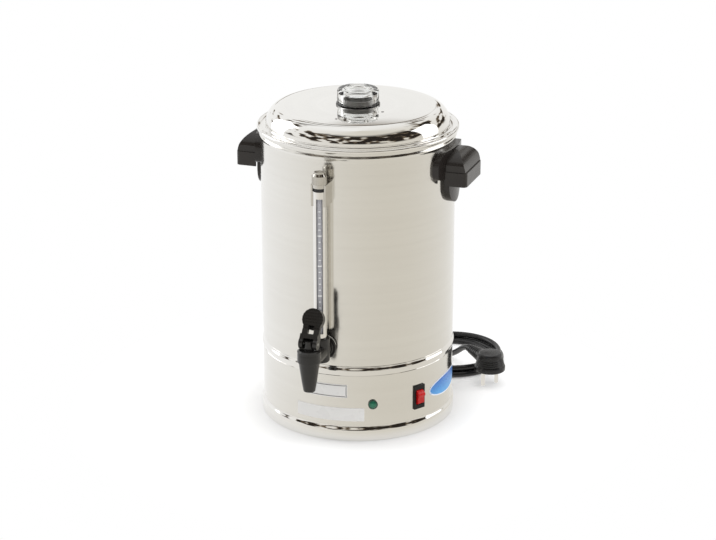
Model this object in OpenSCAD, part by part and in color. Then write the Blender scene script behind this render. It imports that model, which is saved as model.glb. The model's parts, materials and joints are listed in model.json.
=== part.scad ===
// Percolating coffee urn: a steel tank on a skirted base, with a lift-off lid, a filter basket
// on a pump tube, a sight gauge over a self-closing tap, two side handles and a mains lead.
// Millimetres. The origin is the centre of the base on the surface it stands on, +Z is up,
// the tap points along -Y and the handles stand out along +X and -X.

/* [Tank] */
// Outer radius of the tank and of the skirt
body_r = 111; // [100:1:125]
// Thickness of the tank's sheet
tank_wall = 1; // [0.8:0.1:1.4]
// Height of the seam between the skirt and the tank
seam_z = 91; // [88:1:94]
// Height of the tank's rim
tank_top = 343; // [335:1:360]
// Height of the tank's floor above the seam
floor_rise = 7; // [6:0.5:8]
// Radius of the heater well in the floor
well_r = 30; // [29:0.5:34]
// Depth of the heater well
well_depth = 8; // [7:0.5:9]
// How far the bead under the rim stands out
bead_out = 1.3; // [0.8:0.1:1.8]
// Distance from the rim down to the middle of that bead
bead_drop = 8.5; // [8:0.5:10]

/* [Base] */
// Thickness of the skirt's sheet
skirt_wall = 1; // [0.8:0.1:1.2]
// How far the polished lower band stands out
band_out = 2; // [1.5:0.5:2.5]
// Height of the top of the lower band
band_top = 15.5; // [14:0.5:17]
// Height of the bead at the top of the skirt
skirt_bead_h = 11; // [9:0.5:12]
// Height of the closing plate's upper face
plate_z = 7.5; // [7:0.5:8.5]
// Thickness of the closing plate
plate_t = 1.5; // [1.2:0.1:2]
// Radius of a foot
foot_r = 8; // [7:0.5:10]
// Distance of the feet's centres in from the skirt
foot_in = 23; // [20:1:30]

/* [Handles] */
// Thickness of the heat shield between a grip and the tank
shield_t = 6.5; // [5:0.5:8]
// Width of the heat shield
shield_w = 86; // [78:1:92]
// How far the top of the heat shield lies below the tank's rim
shield_drop = 14; // [12:1:20]
// Height of the wide part of the heat shield
shield_h = 31; // [28:1:34]
// Radius of the round tongue under the grip
tongue_r = 21; // [18:1:24]
// Height of the heat shield from the end of its tongue to its top
shield_length = 65; // [59:1:71]
// Width of a grip
grip_w = 61; // [54:1:68]
// How far a grip stands out from its shield
grip_reach = 20.5; // [18:0.5:24]
// Height of a grip
grip_h = 39; // [36:1:42]
// Height of the thicker band around a grip's mouth
grip_band_h = 16; // [13:1:18]
// How far that band stands out
grip_band_out = 1.3; // [0.8:0.1:1.6]
// How far the grip's hood falls from its middle to its ends
hood_drop = 20; // [16:1:22]
// Thickness of a grip's walls
grip_wall = 3.5; // [3:0.5:4]

/* [Lid] */
// Thickness of the lid's sheet
lid_t = 0.9; // [0.8:0.1:1.2]
// How far the lid's rolled rim stands out beyond the tank
lid_over = 4; // [3.5:0.5:5]
// How far the lid's shoulder stands in from the tank
shoulder_in = 6; // [5:1:11]
// Height of the lid's raised top above the tank's rim
shoulder_h = 22.8; // [20:0.2:26]
// How far in the rounded shoulder reaches before the top begins
shoulder_run = 18; // [14:1:22]
// Rise of the top from the shoulder to the knob
crown_rise = 0.6; // [0.2:0.2:3]
// Depth of the locating collar inside the tank
collar_h = 9; // [7:1:12]
// Radius of the knob's foot
knob_foot_r = 25; // [25:0.5:27]
// Radius of the knob's body
knob_r = 23.6; // [22:0.2:24.2]
// Height of the knob
knob_h = 18.6; // [17:0.2:24]
// Radius of the threaded collar inside the knob
knob_collar_r = 17.8; // [16:0.2:18.6]
// Height of that collar above the lid
knob_collar_h = 7; // [5:0.5:9]

/* [Percolator] */
// Outer radius of the pump tube
tube_r = 6; // [5:0.25:7]
// Distance from the tank's rim down to the tube's mouth
tube_drop = 5; // [3:1:8]
// Radius of the pump's bell-shaped foot
bell_r = 27; // [25:0.5:28]
// Height of the bell
bell_h = 18; // [15:1:22]
// Outer radius of the filter basket
basket_r = 84; // [75:1:95]
// Height of the filter basket
basket_h = 86; // [75:1:95]
// Height of the stop ring that carries the basket
stop_z = 236; // [225:1:240]
// Thickness of the basket's sheet
basket_wall = 0.8; // [0.6:0.1:1.2]

/* [Tap] */
// Height of the shank's axis above the tank's floor
shank_rise = 16; // [15:0.5:17]
// Distance of the spout's axis from the tank's face
spout_stand = 52; // [49:1:59]
// Outer radius of the threaded shank
shank_r = 9; // [8:0.25:9.5]
// Radius of the bore through the shank
shank_bore_r = 6; // [5:0.25:6.5]
// Height of the spout's mouth
spout_z = 80; // [72:1:84]
// Outer radius of the spout's mouth
spout_r = 7; // [6.5:0.5:8]
// Radius of the spout's bore
spout_bore_r = 5; // [4:0.5:5.5]
// Outer radius of the barrel above the spout
barrel_r = 12; // [11.5:0.5:13]
// Outer radius of the barrel's rim and of the bonnet on it
bonnet_r = 13.2; // [13:0.1:14]
// Radius of the lever's grip disc
disc_r = 12.2; // [10:0.2:14]
// How far the lever leans back towards the urn, in degrees
lever_lean = 33; // [28:1:34]
// Width of the lever's stem
stem_w = 20; // [18:0.5:22]

/* [Gauge] */
// Distance of the gauge's axis from the tank's face
gauge_stand = 16; // [14:0.5:19]
// Outer radius of the glass tube
glass_r = 5; // [4.5:0.25:5.5]
// Wall of the glass tube
glass_wall = 1.2; // [1:0.1:1.5]
// Outer radius of the slotted guard
guard_r = 7.3; // [7:0.1:7.6]
// How far the guard's top lies below the tank's rim
guard_drop = 41.5; // [38:0.5:50]
// Width of the slot in the guard
guard_slot_w = 7; // [5:0.5:8]
// How far the slot is turned from the tap's direction towards +X, in degrees
guard_slot_turn = 18; // [0:1:25]

/* [Controls] */
// Angle of the pilot lamp from the tap towards +X, in degrees
lamp_angle = 28; // [24:1:32]
// Angle of the rocker switch from the tap towards +X, in degrees
switch_angle = 58; // [52:1:64]
// Height of the middle of the lamp and the switch
controls_z = 44.5; // [40:0.5:50]
// Width of the switch's frame
switch_w = 15; // [14:0.5:17]
// Height of the switch's frame
switch_h = 28.5; // [27:0.5:31]
// Radius of the lamp's lens
lamp_r = 5.5; // [5:0.1:6.5]

/* [Labels] */
// Half of the front label's width, in degrees round the skirt
front_label_half = 13; // [9:1:15]
// Height of the front label's lower edge
front_label_z = 52.5; // [50:0.5:54]
// Height of the front label
front_label_h = 16; // [12:0.5:18]
// Height of the lower label's lower edge
lower_label_z = 24; // [20:0.5:26]
// Height of the lower label
lower_label_h = 16; // [12:0.5:18]
// Height of the middle of the oval label
oval_z = 45.3; // [40:0.1:50]
// Height of the oval label
oval_h = 24; // [18:0.5:28]
// Half of the oval label's width
oval_half = 41; // [30:1:44]

/* [Lead] */
// Diameter of the mains cord
cord_d = 7; // [6.6:0.1:7.2]
// Height of the cord's exit
cord_exit_z = 25; // [24.5:0.5:27]
// Length of the strain relief outside the skirt
relief_len = 26; // [22:1:30]

/* [Hidden] */
$fn = 96;
eps = 0.01;
fit = 0.05;
slack = 0.4;
inner_r = body_r - tank_wall;
floor_z = seam_z + floor_rise;
floor_under = floor_z - tank_wall;
well_z = floor_z - well_depth;
well_under = well_z - tank_wall;
band_r = body_r + band_out;
skirt_inner_r = body_r - skirt_wall;
tank_lip = 1.6;
tank_lip_h = 3.4;
foot_place = body_r - foot_in;
screw_r = 2.4;
screw_head_r = 4.4;
screw_head_h = 2.4;

// Lid
lid_r = body_r + lid_over;
shoulder_r = body_r - shoulder_in;
lid_under = tank_top;
lid_curl_drop = 1.3;
lid_shoulder_z = tank_top + shoulder_h;
lid_top = lid_shoulder_z + crown_rise;
shoulder_foot_z = lid_under + 2.3;
shoulder_mid_r = shoulder_r - shoulder_run;
collar_r = inner_r - 0.6;
knob_hole_r = knob_collar_r + 0.1;
knob_seat_r = knob_foot_r + 1;
knob_top = lid_top + knob_h;
vent_r = 1.6;
vent_places = [[66, -92], [43, -31]];

// Percolator
tube_bore_r = tube_r - 1;
tube_top = tank_top - tube_drop;
stop_r = tube_r + 3.5;
stop_h = 3;
sleeve_r = tube_r + slack;
basket_top = stop_z + basket_h;
basket_lip = 2.4;
cover_t = 1;
cover_rim_h = 4;
cover_neck_h = 8;
hole_r = 1.6;
hole_first = 20;
hole_pitch = 17;

// Handles
shield_r = body_r + shield_t;
shield_top = tank_top - shield_drop;
tongue_z = shield_top - shield_length;
grip_bottom = shield_top - grip_h;
grip_r = shield_r + grip_reach;
handle_screw_y = 17;
handle_screw_z = shield_top - 9;
handle_screw_len = 7;
head_sink = inner_r - sqrt(inner_r * inner_r - pow(handle_screw_y + screw_head_r, 2)) + fit;

// Tap
spout_reach = body_r + spout_stand;
shank_back = inner_r - 17;
shank_front_r = shank_r + 1;
flange_r = shank_front_r + 4;
flange_t = 2.8;
seal_r = shank_front_r + 2.4;
seal_t = 2;
chamber_r = 8.5;
tap_z = floor_z + shank_rise;
seat_z = tap_z - 10;
rim_low = tap_z + 1;
rim_top = tap_z + 10.5;
bonnet_low = rim_top - 3.5;
bonnet_top = rim_top + 4.5;
bonnet_roof = 3;
neck_r = 5.5;
pivot_z = bonnet_top + 7;
neck_top = pivot_z + 3.5;
stem_r = 2.5;
stem_top = bonnet_top + 1.3;
cup_r = 7.6;
pin_r = 1.5;
cheek_r = 6.3;
cheek_in = neck_r + 0.5;
cheek_out = stem_w / 2 + 0.6;
// how far the round pivot boss stands out of each cheek
boss_step = 0.3;
yoke_gap_r = 7.2;
lever_t = 5;
lever_len = 20;
disc_t = 8;
disc_tilt = 24;
disc_up = 27.5;
rib_w = 1.4;
rib_pitch = 3.4;
nut_r = 14.4;
nut_t = 6;

// Gauge
gauge_reach = body_r + gauge_stand;
guard_top = tank_top - guard_drop;
socket_r = 10.6;
socket_low = tap_z - 12;
socket_top = tap_z + 16.5;
glass_low = socket_top - 10;
glass_top = guard_top + 9;
guard_wall = 1;
slot_top = guard_top - 8;
slot_low = socket_top + 6;
seal_h = 4;
cap_low = guard_top + seal_h;
cap_flange_h = 3.9;
cap_knurl_h = 9.4;
cap_cone_h = 2.6;
cap_top = cap_low + 17.5;
cap_r = 8.3;
bracket_w = 17.2;
bracket_low = cap_low + cap_flange_h - 25;
bracket_top = cap_low + cap_flange_h - 0.2;
bracket_screw_z = bracket_low + 9;

// Switch and lamp
frame_t = 2;
switch_body_w = switch_w - 2.4;
switch_body_h = switch_h - 2.4;
switch_depth = 20;
rocker_w = 9.4;
rocker_r = 8.8;
rocker_in = 1;
rocker_pin_r = 1.2;
rocker_pin_half = rocker_w / 2 + 1.3;
rocker_tilt = 11;
lens_flange_t = 2;
lens_body_r = 4.5;
lens_depth = 18;

// Heater
heater_r = well_r - 1;
heater_t = 5;
heater_under = well_under - heater_t;
ring_r = 21;
ring_tube_r = 3.4;
boss_r = 9;
boss_h = 8;
stud_r = 3;
warmer_in = 44;
warmer_out = 60;
warmer_t = 2.5;
cutout_place = body_r - 31;
leg_r = 2.2;
leg_len = 12;
cutout_r = 10;
cutout_h = 9;

// Plug: a two-pin mains plug that stands on its pins, with its lead leaving at the side
plug_x = 132;
plug_y = -31;
plug_turn = 138;
plug_r = 18.5;
plug_h = 22;
pin_len = 19;
pin_gap = 19;
plug_pin_r = 2.4;
boot_len = 31;
plug_axis_z = pin_len + 11;

// Lead: straight out of the strain relief, down to the table, into a coil of four turns, out of
// the coil over its inner turns, and up to the plug. Every route point is [x, y, z], with y
// counted from the end of the strain relief.
coil_x = 63;
coil_y = 33;
coil_in = 44.4;
coil_out = 66.4;
coil_upper_in = 48;
coil_upper_out = 62.8;
lead_route = [
    [0, 0, cord_exit_z], [0, 5, cord_exit_z - 0.6], [0, 11, cord_exit_z - 2.8],
    [0, 17, cord_exit_z - 6.4], [0, 23, 14.4], [0.3, 29, 10.8]
];
tail_route = [
    [21, -9, 10.7], [16, -2, 10.7], [14, 5, 10.8], [14, 13, 10.9], [17, 21, 10.9],
    [22, 28, 10.7], [29, 34, 8.6], [37, 38, 5.7], [45, 39.5, 4.1], [53, 38, 3.8],
    [60, 34, 5.2], [66, 29, 8.2], [72, 23.5, 12.8], [78, 18, 18.2], [84, 12.2, 24],
    [90, 6.8, 28.3], [95.2, 2.1, plug_axis_z], [102.3, -4.2, plug_axis_z]
];

// ---- shared shapes ----

// Points on an arc, from angle a0 to angle a1
function arc(cx, cy, r, a0, a1, n = 8) =
    [for (i = [0:n]) let (a = a0 + (a1 - a0) * i / n) [cx + r * cos(a), cy + r * sin(a)]];

// Points on a quarter of an ellipse, from its side to its top
function quarter_ellipse(cx, cy, rx, ry, n = 12) =
    [for (i = [0:n]) let (a = 90 * i / n) [cx + rx * cos(a), cy + ry * sin(a)]];

// A cylinder along the outward direction of the tap, from one radius to another
module radial(r, from, to) {
    translate([0, -from, 0])
        rotate([90, 0, 0])
            cylinder(r = r, h = to - from);
}

// Turns its children from the tap's direction towards +X
module at_angle(a) {
    rotate([0, 0, a])
        children();
}

// A hollow cylinder about the urn's axis
module sleeve(outer, inner, low, high) {
    difference() {
        translate([0, 0, low])
            cylinder(r = outer, h = high - low, $fn = 180);
        translate([0, 0, low - 1])
            cylinder(r = inner, h = high - low + 2, $fn = 180);
    }
}

// A tube swept along a list of points
function unit(v) = v / norm(v);
function heading(p, i) =
    unit(p[min(i + 1, len(p) - 1)] - p[max(i - 1, 0)]);
function across(t) =
    let (up = abs(t[2]) > 0.9 ? [1, 0, 0] : [0, 0, 1]) unit(cross(up, t));

module swept(route, r, sides) {
    rings = len(route);
    points = [
        for (i = [0:rings - 1])
            let (t = heading(route, i), u = across(t), v = cross(t, u))
                for (k = [0:sides - 1])
                    route[i] + r * (cos(360 * k / sides) * u + sin(360 * k / sides) * v)
    ];
    walls = [
        for (i = [0:rings - 2])
            for (k = [0:sides - 1])
                let (n = (k + 1) % sides)
                    [i * sides + k, (i + 1) * sides + k, (i + 1) * sides + n, i * sides + n]
    ];
    start_cap = [[for (k = [0:sides - 1]) k]];
    end_cap = [[for (k = [sides - 1:-1:0]) (rings - 1) * sides + k]];
    polyhedron(points = points, faces = concat(walls, start_cap, end_cap), convexity = 6);
}

// ---- tank ----

module tank_profile() {
    bead_z = tank_top - bead_drop;
    bead_half = 2.4;
    polygon(concat(
        [[body_r, seam_z], [body_r, bead_z - bead_half]],
        [[body_r + bead_out, bead_z - 1], [body_r + bead_out, bead_z + 1]],
        [[body_r, bead_z + bead_half], [body_r, tank_top - tank_lip_h]],
        [[body_r + tank_lip, tank_top - tank_lip_h + 0.8], [body_r + tank_lip, tank_top]],
        [[inner_r, tank_top], [inner_r, floor_z]],
        [[well_r, floor_z], [well_r, well_z], [0, well_z], [0, well_under]],
        [[well_r + tank_wall, well_under], [well_r + tank_wall, floor_under]],
        [[inner_r, floor_under], [inner_r, seam_z]]
    ));
}

module tank() {
    color("silver")
        difference() {
            rotate_extrude($fn = 180)
                tank_profile();
            translate([0, 0, tap_z])
                radial(shank_r + slack, inner_r - 5, body_r + 5);
            translate([0, 0, bracket_screw_z])
                radial(screw_r + fit, inner_r - 5, body_r + 5);
            handle_bores(screw_r + fit, inner_r - 5, body_r + 5);
        }
}

// The four bores that the handles' screws pass through
module handle_bores(r, from, to) {
    for (side = [90, -90])
        for (y = [-handle_screw_y, handle_screw_y])
            at_angle(side)
                translate([y, 0, handle_screw_z])
                    radial(r, from, to);
}

// ---- base ----

module skirt_profile() {
    bead_low = seam_z - skirt_bead_h;
    bead_r = body_r + 1.4;
    t = skirt_wall;
    polygon([
        [band_r, 0], [band_r, band_top - 2], [body_r, band_top + 1],
        [body_r, bead_low - 1], [bead_r, bead_low + 1], [bead_r, seam_z - 2],
        [body_r, seam_z], [inner_r - 3, seam_z], [inner_r - 3, seam_z - t],
        [body_r - t, seam_z - t - 1], [body_r - t, band_top + 0.6],
        [band_r - t, band_top - 2.4], [band_r - t, 0]
    ]);
}

module base_skirt() {
    color("lightgray")
        difference() {
            rotate_extrude($fn = 180)
                skirt_profile();
            at_angle(lamp_angle)
                translate([0, 0, controls_z])
                    radial(lens_body_r + fit, skirt_inner_r - 5, body_r + 5);
            at_angle(switch_angle)
                translate([-switch_body_w / 2 - fit, -body_r - 5, controls_z - switch_body_h / 2 - fit])
                    cube([switch_body_w + 2 * fit, 12, switch_body_h + 2 * fit]);
            at_angle(180)
                translate([0, 0, cord_exit_z])
                    radial(relief_neck_r + fit, skirt_inner_r - 5, body_r + 5);
        }
}

module base_plate() {
    color("gray")
        difference() {
            translate([0, 0, plate_z - plate_t])
                cylinder(r = band_r - skirt_wall, h = plate_t, $fn = 180);
            for (a = [45:90:315])
                rotate([0, 0, a])
                    translate([foot_place, 0, 0])
                        cylinder(r = screw_r + fit, h = plate_z + 1);
            for (a = [0:30:330])
                rotate([0, 0, a])
                    translate([34, -2, plate_z - plate_t - 1])
                        cube([26, 4, plate_t + 2]);
        }
}

module feet() {
    color("black")
        for (a = [45:90:315])
            rotate([0, 0, a])
                translate([foot_place, 0, 0])
                    difference() {
                        cylinder(r = foot_r, h = plate_z - plate_t);
                        translate([0, 0, -1])
                            cylinder(r = screw_head_r + 0.6, h = 1 + screw_head_h + 1);
                        cylinder(r = screw_r + fit, h = plate_z);
                    }
}

module foot_screws() {
    color("gainsboro")
        for (a = [45:90:315])
            rotate([0, 0, a])
                translate([foot_place, 0, 1]) {
                    cylinder(r = screw_head_r, h = screw_head_h);
                    cylinder(r = screw_r, h = plate_z + 3);
                }
}

// ---- heaters and wiring in the base ----

module heater_plate() {
    color("darkgray")
        difference() {
            union() {
                translate([0, 0, heater_under])
                    cylinder(r = heater_r, h = heater_t);
                translate([0, 0, heater_under - boss_h])
                    cylinder(r = boss_r, h = boss_h + 1);
            }
            translate([0, 0, heater_under - boss_h - 1])
                cylinder(r = stud_r + fit, h = boss_h + heater_t + 2);
        }
}

module heating_element() {
    element_z = heater_under - ring_tube_r - fit;
    color("dimgray")
        for (piece = [0]) {
            translate([0, 0, element_z])
                rotate([0, 0, 110])
                    rotate_extrude(angle = 320, $fn = 120)
                        translate([ring_r, 0])
                            circle(r = ring_tube_r, $fn = 32);
            for (a = [114, 66])
                rotate([0, 0, a])
                    translate([ring_r, 0, element_z - leg_len])
                        cylinder(r = leg_r, h = leg_len);
        }
}

module warming_element() {
    color("tan")
        sleeve(warmer_out, warmer_in, floor_under - warmer_t, floor_under);
}

module heater_stud() {
    color("gainsboro")
        translate([0, 0, heater_under - boss_h - 8])
            cylinder(r = stud_r, h = boss_h + heater_t + 8);
}

module heater_nut() {
    color("gainsboro")
        difference() {
            translate([0, 0, heater_under - boss_h - 5])
                cylinder(r = 5.8, h = 5, $fn = 6);
            translate([0, 0, heater_under - boss_h - 6])
                cylinder(r = stud_r, h = 7);
        }
}

// A bimetal cut-out: a button with two flat terminals
module button_cutout() {
    translate([0, 0, floor_under - cutout_h])
        cylinder(r = cutout_r, h = cutout_h);
    for (x = [-4, 4])
        translate([x - 2.4, -0.4, floor_under - cutout_h - 7])
            cube([4.8, 0.8, 7 + eps]);
}

module thermostat() {
    color("saddlebrown")
        rotate([0, 0, 35])
            translate([cutout_place, 0, 0])
                button_cutout();
}

module dry_boil_cutout() {
    color("ivory")
        rotate([0, 0, 145])
            translate([cutout_place, 0, 0])
                button_cutout();
}

block_x = 0;
block_y = body_r - 59;
block_w = 40;
block_d = 18;
block_h = 16;

module terminal_block() {
    color("white")
        translate([block_x - block_w / 2, block_y - block_d / 2, plate_z])
            difference() {
                cube([block_w, block_d, block_h]);
                for (i = [0:3])
                    translate([5 + 10 * i, block_d / 2, block_h - 8])
                        cylinder(r = 2.6, h = 9);
            }
}

wire_r = 1.3;
wire_low = plate_z + block_h - 4;

// Four leads from the terminal block to the cut-outs, the element and the switch
module wiring() {
    element_low = heater_under - ring_tube_r - fit - leg_len;
    cutout_low = floor_under - cutout_h - 7;
    block_side = block_y - block_d / 2;
    s = [sin(switch_angle), -cos(switch_angle)] * (body_r - switch_depth - 9);
    t = cutout_place * [cos(35), sin(35)] + 4 * [cos(35), sin(35)];
    d = cutout_place * [cos(145), sin(145)] + 4 * [cos(145), sin(145)];
    e = ring_r * [cos(66), sin(66)];
    color("firebrick") {
        swept([
            [block_x + 15, block_side, wire_low], [block_x + 15, block_side - 4, wire_low],
            [26, 34, wire_low + 1], [44, 18, 30], [60, -2, 36], [s[0] - 8, s[1] + 14, controls_z - 4],
            [s[0] - 2, s[1] + 3, controls_z], [s[0], s[1], controls_z]
        ], wire_r, 8);
        swept([
            [block_x + 5, block_side, wire_low], [block_x + 5, block_side - 4, wire_low],
            [block_x + 6, 34, wire_low + 4], [8, 27, 38], [e[0], e[1] + 3, 50],
            [e[0], e[1], element_low - 6], [e[0], e[1], element_low]
        ], wire_r, 8);
        swept([
            [block_x + block_w / 2, block_y, wire_low], [block_x + block_w / 2 + 5, block_y, wire_low],
            [38, 52, 30], [52, 50, 44], [t[0], t[1], cutout_low - 12], [t[0], t[1], cutout_low - 5],
            [t[0], t[1], cutout_low]
        ], wire_r, 8);
        swept([
            [block_x - block_w / 2, block_y, wire_low], [block_x - block_w / 2 - 5, block_y, wire_low],
            [-38, 50, 30], [-54, 50, 44], [d[0], d[1], cutout_low - 12], [d[0], d[1], cutout_low - 5],
            [d[0], d[1], cutout_low]
        ], wire_r, 8);
    }
}

// ---- handles ----

// Outline of a heat shield seen from outside: x across, y up
function shield_outline() =
    let (
        half = shield_w / 2,
        low = shield_top - shield_h,
        big = 18,
        small = 6,
        tongue_c = tongue_z + tongue_r
    )
        concat(
            arc(half - big, shield_top - big, big, 0, 90),
            arc(big - half, shield_top - big, big, 90, 180),
            arc(small - half, low + small, small, 180, 270, 4),
            [[-tongue_r, low]],
            arc(0, tongue_c, tongue_r, 180, 360, 24),
            [[tongue_r, low]],
            arc(half - small, low + small, small, 270, 360, 4)
        );

// A heat shield, hugging the tank in the direction of the tap
module shield() {
    difference() {
        intersection() {
            sleeve(shield_r, body_r, tongue_z - 2, shield_top + 2);
            rotate([90, 0, 0])
                linear_extrude(height = shield_r + 10)
                    polygon(shield_outline());
        }
        for (y = [-handle_screw_y, handle_screw_y])
            translate([y, 0, handle_screw_z])
                radial(screw_r + fit, body_r - 5, shield_r + 5);
    }
}

// Side profile of a grip: x is the distance from the urn's axis, y is up
function grip_side(out) =
    concat(
        [[shield_r - 6, grip_bottom]],
        [[shield_r + out, grip_bottom]],
        quarter_ellipse(shield_r - 3, shield_top - 26, out + 3, 25.6),
        [[shield_r - 6, shield_top - 0.4]]
    );

// Outline of a grip's hood seen from outside: an arch on straight sides
function hood_arch(half) =
    let (ends_z = shield_top - hood_drop, rise = hood_drop - 1)
        concat(
            [[-half, grip_bottom - 1], [half, grip_bottom - 1]],
            quarter_ellipse(0, ends_z, half, rise),
            [for (i = [1:12]) [-half * sin(7.5 * i), ends_z + rise * cos(7.5 * i)]]
        );

// A grip in the direction of the tap: a hood that is open underneath for the fingers
module grip() {
    band = grip_band_out;
    upper_w = grip_w - 2 * band;
    hollow_top = shield_top - 15;
    difference() {
        union() {
            intersection() {
                translate([-upper_w / 2, 0, 0])
                    rotate([90, 0, 90])
                        mirror([1, 0, 0])
                            linear_extrude(height = upper_w)
                                polygon(grip_side(grip_reach - band));
                rotate([90, 0, 0])
                    linear_extrude(height = grip_r + 10)
                        polygon(hood_arch(upper_w / 2 + 1));
            }
            translate([0, 0, grip_bottom])
                linear_extrude(height = grip_band_h)
                    polygon(grip_plan(grip_w / 2, grip_r, 5));
        }
        translate([0, 0, grip_bottom - 1])
            linear_extrude(height = hollow_top - grip_bottom + 1)
                polygon(grip_plan(grip_w / 2 - grip_wall, grip_r - grip_wall, 2.5));
        translate([0, 0, tongue_z - 5])
            cylinder(r = shield_r, h = shield_top - tongue_z + 10, $fn = 180);
        for (y = [-handle_screw_y, handle_screw_y])
            translate([y, 0, handle_screw_z])
                radial(screw_r, shield_r - 5, shield_r + handle_screw_len);
    }
}

// Plan of a grip's band: a rectangle towards -Y with round outer corners
function grip_plan(half, reach, r) =
    concat(
        [[-half, r - shield_r + 6]],
        arc(r - half, r - reach, r, 180, 270, 6),
        arc(half - r, r - reach, r, 270, 360, 6),
        [[half, r - shield_r + 6]]
    );

module handle_screws() {
    color("gainsboro")
        union() {
            handle_bores(screw_r, inner_r - head_sink, shield_r + handle_screw_len);
            handle_bores(screw_head_r, inner_r - head_sink - screw_head_h, inner_r - head_sink);
        }
}

module left_handle_shield() {
    color("#2b2829")
        at_angle(-90)
            shield();
}

module right_handle_shield() {
    color("#2b2829")
        at_angle(90)
            shield();
}

module left_handle_grip() {
    color("#1f1d1e")
        at_angle(-90)
            grip();
}

module right_handle_grip() {
    color("#1f1d1e")
        at_angle(90)
            grip();
}

// ---- tap ----

module spout_axis() {
    translate([0, -spout_reach, 0])
        children();
}

module gauge_axis() {
    translate([0, -gauge_reach, 0])
        children();
}

module tap_body() {
    color("#161616")
        difference() {
            union() {
                translate([0, 0, tap_z])
                    radial(shank_r, shank_back, body_r + seal_t);
                translate([0, 0, tap_z])
                    radial(shank_front_r, body_r + seal_t, spout_reach);
                translate([0, 0, tap_z])
                    radial(flange_r, body_r + seal_t, body_r + seal_t + flange_t);
                spout_axis() {
                    translate([0, 0, spout_z])
                        cylinder(r1 = spout_r, r2 = barrel_r, h = rim_low - spout_z);
                    translate([0, 0, rim_low])
                        cylinder(r = bonnet_r, h = rim_top - rim_low);
                }
                gauge_axis()
                    translate([0, 0, socket_low])
                        cylinder(r = socket_r, h = socket_top - socket_low);
            }
            translate([0, 0, tap_z])
                radial(shank_bore_r, shank_back - 1, spout_reach);
            spout_axis() {
                translate([0, 0, spout_z - 1])
                    cylinder(r = spout_bore_r, h = seat_z - spout_z + 2);
                translate([0, 0, seat_z])
                    cylinder(r = chamber_r, h = rim_top - seat_z + 1);
            }
            gauge_axis() {
                translate([0, 0, tap_z])
                    cylinder(r = 3, h = socket_top - tap_z);
                translate([0, 0, glass_low])
                    cylinder(r = glass_r + fit, h = socket_top - glass_low + 1);
                translate([0, 0, socket_top - 3])
                    cylinder(r = guard_r - guard_wall - fit, h = 4);
            }
        }
}

module tap_seals() {
    color("whitesmoke")
        for (piece = [0]) {
            difference() {
                translate([0, 0, tap_z])
                    radial(seal_r, body_r - 3, body_r + seal_t);
                translate([0, 0, tap_z])
                    radial(shank_r, body_r - 6, body_r + seal_t + 1);
                translate([0, 0, tap_z - 20])
                    cylinder(r = body_r, h = 40, $fn = 180);
            }
            difference() {
                intersection() {
                    translate([0, 0, tap_z])
                        radial(seal_r, inner_r - 4, inner_r + 2);
                    translate([0, 0, tap_z - 20])
                        cylinder(r = inner_r, h = 40, $fn = 180);
                }
                translate([0, 0, tap_z])
                    radial(shank_r, inner_r - 6, inner_r + 3);
            }
        }
}

module tap_nut() {
    color("#161616")
        difference() {
            translate([0, -inner_r + 4 + nut_t, tap_z])
                rotate([90, 0, 0])
                    cylinder(r = nut_r, h = nut_t, $fn = 6);
            translate([0, 0, tap_z])
                radial(shank_r, inner_r - 5 - nut_t, inner_r);
        }
}

module tap_bonnet() {
    color("#1b1b1b")
        spout_axis()
            difference() {
                union() {
                    rotate_extrude()
                        polygon([
                            [0, bonnet_low], [chamber_r - fit, bonnet_low], [chamber_r - fit, rim_top],
                            [bonnet_r, rim_top], [bonnet_r, bonnet_top - 1.5],
                            [bonnet_r - 2, bonnet_top], [0, bonnet_top]
                        ]);
                    translate([0, 0, bonnet_top - 1])
                        cylinder(r = neck_r, h = neck_top - bonnet_top + 1);
                }
                translate([0, 0, bonnet_low - 1])
                    cylinder(r = 6, h = bonnet_top - bonnet_roof - bonnet_low + 1);
                translate([0, 0, bonnet_low])
                    cylinder(r = stem_r + fit, h = bonnet_top - bonnet_low + 4.5);
                translate([-neck_r - 1, 0, pivot_z])
                    rotate([0, 90, 0])
                        cylinder(r = pin_r, h = 2 * neck_r + 2);
            }
}

module valve_stem() {
    color("gainsboro")
        spout_axis()
            translate([0, 0, seat_z + 3])
                cylinder(r = stem_r, h = stem_top - seat_z - 3);
}

module seat_cup() {
    color("whitesmoke")
        spout_axis()
            difference() {
                union() {
                    translate([0, 0, seat_z])
                        cylinder(r = cup_r, h = 3);
                    translate([0, 0, seat_z + 3])
                        cylinder(r1 = cup_r, r2 = stem_r + 1.2, h = 8);
                    translate([0, 0, seat_z + 11])
                        cylinder(r = stem_r + 1.2, h = 3);
                }
                translate([0, 0, seat_z + 3])
                    cylinder(r = stem_r, h = 12);
            }
}

module lever_frame() {
    translate([0, -spout_reach, pivot_z])
        children();
}

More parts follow.
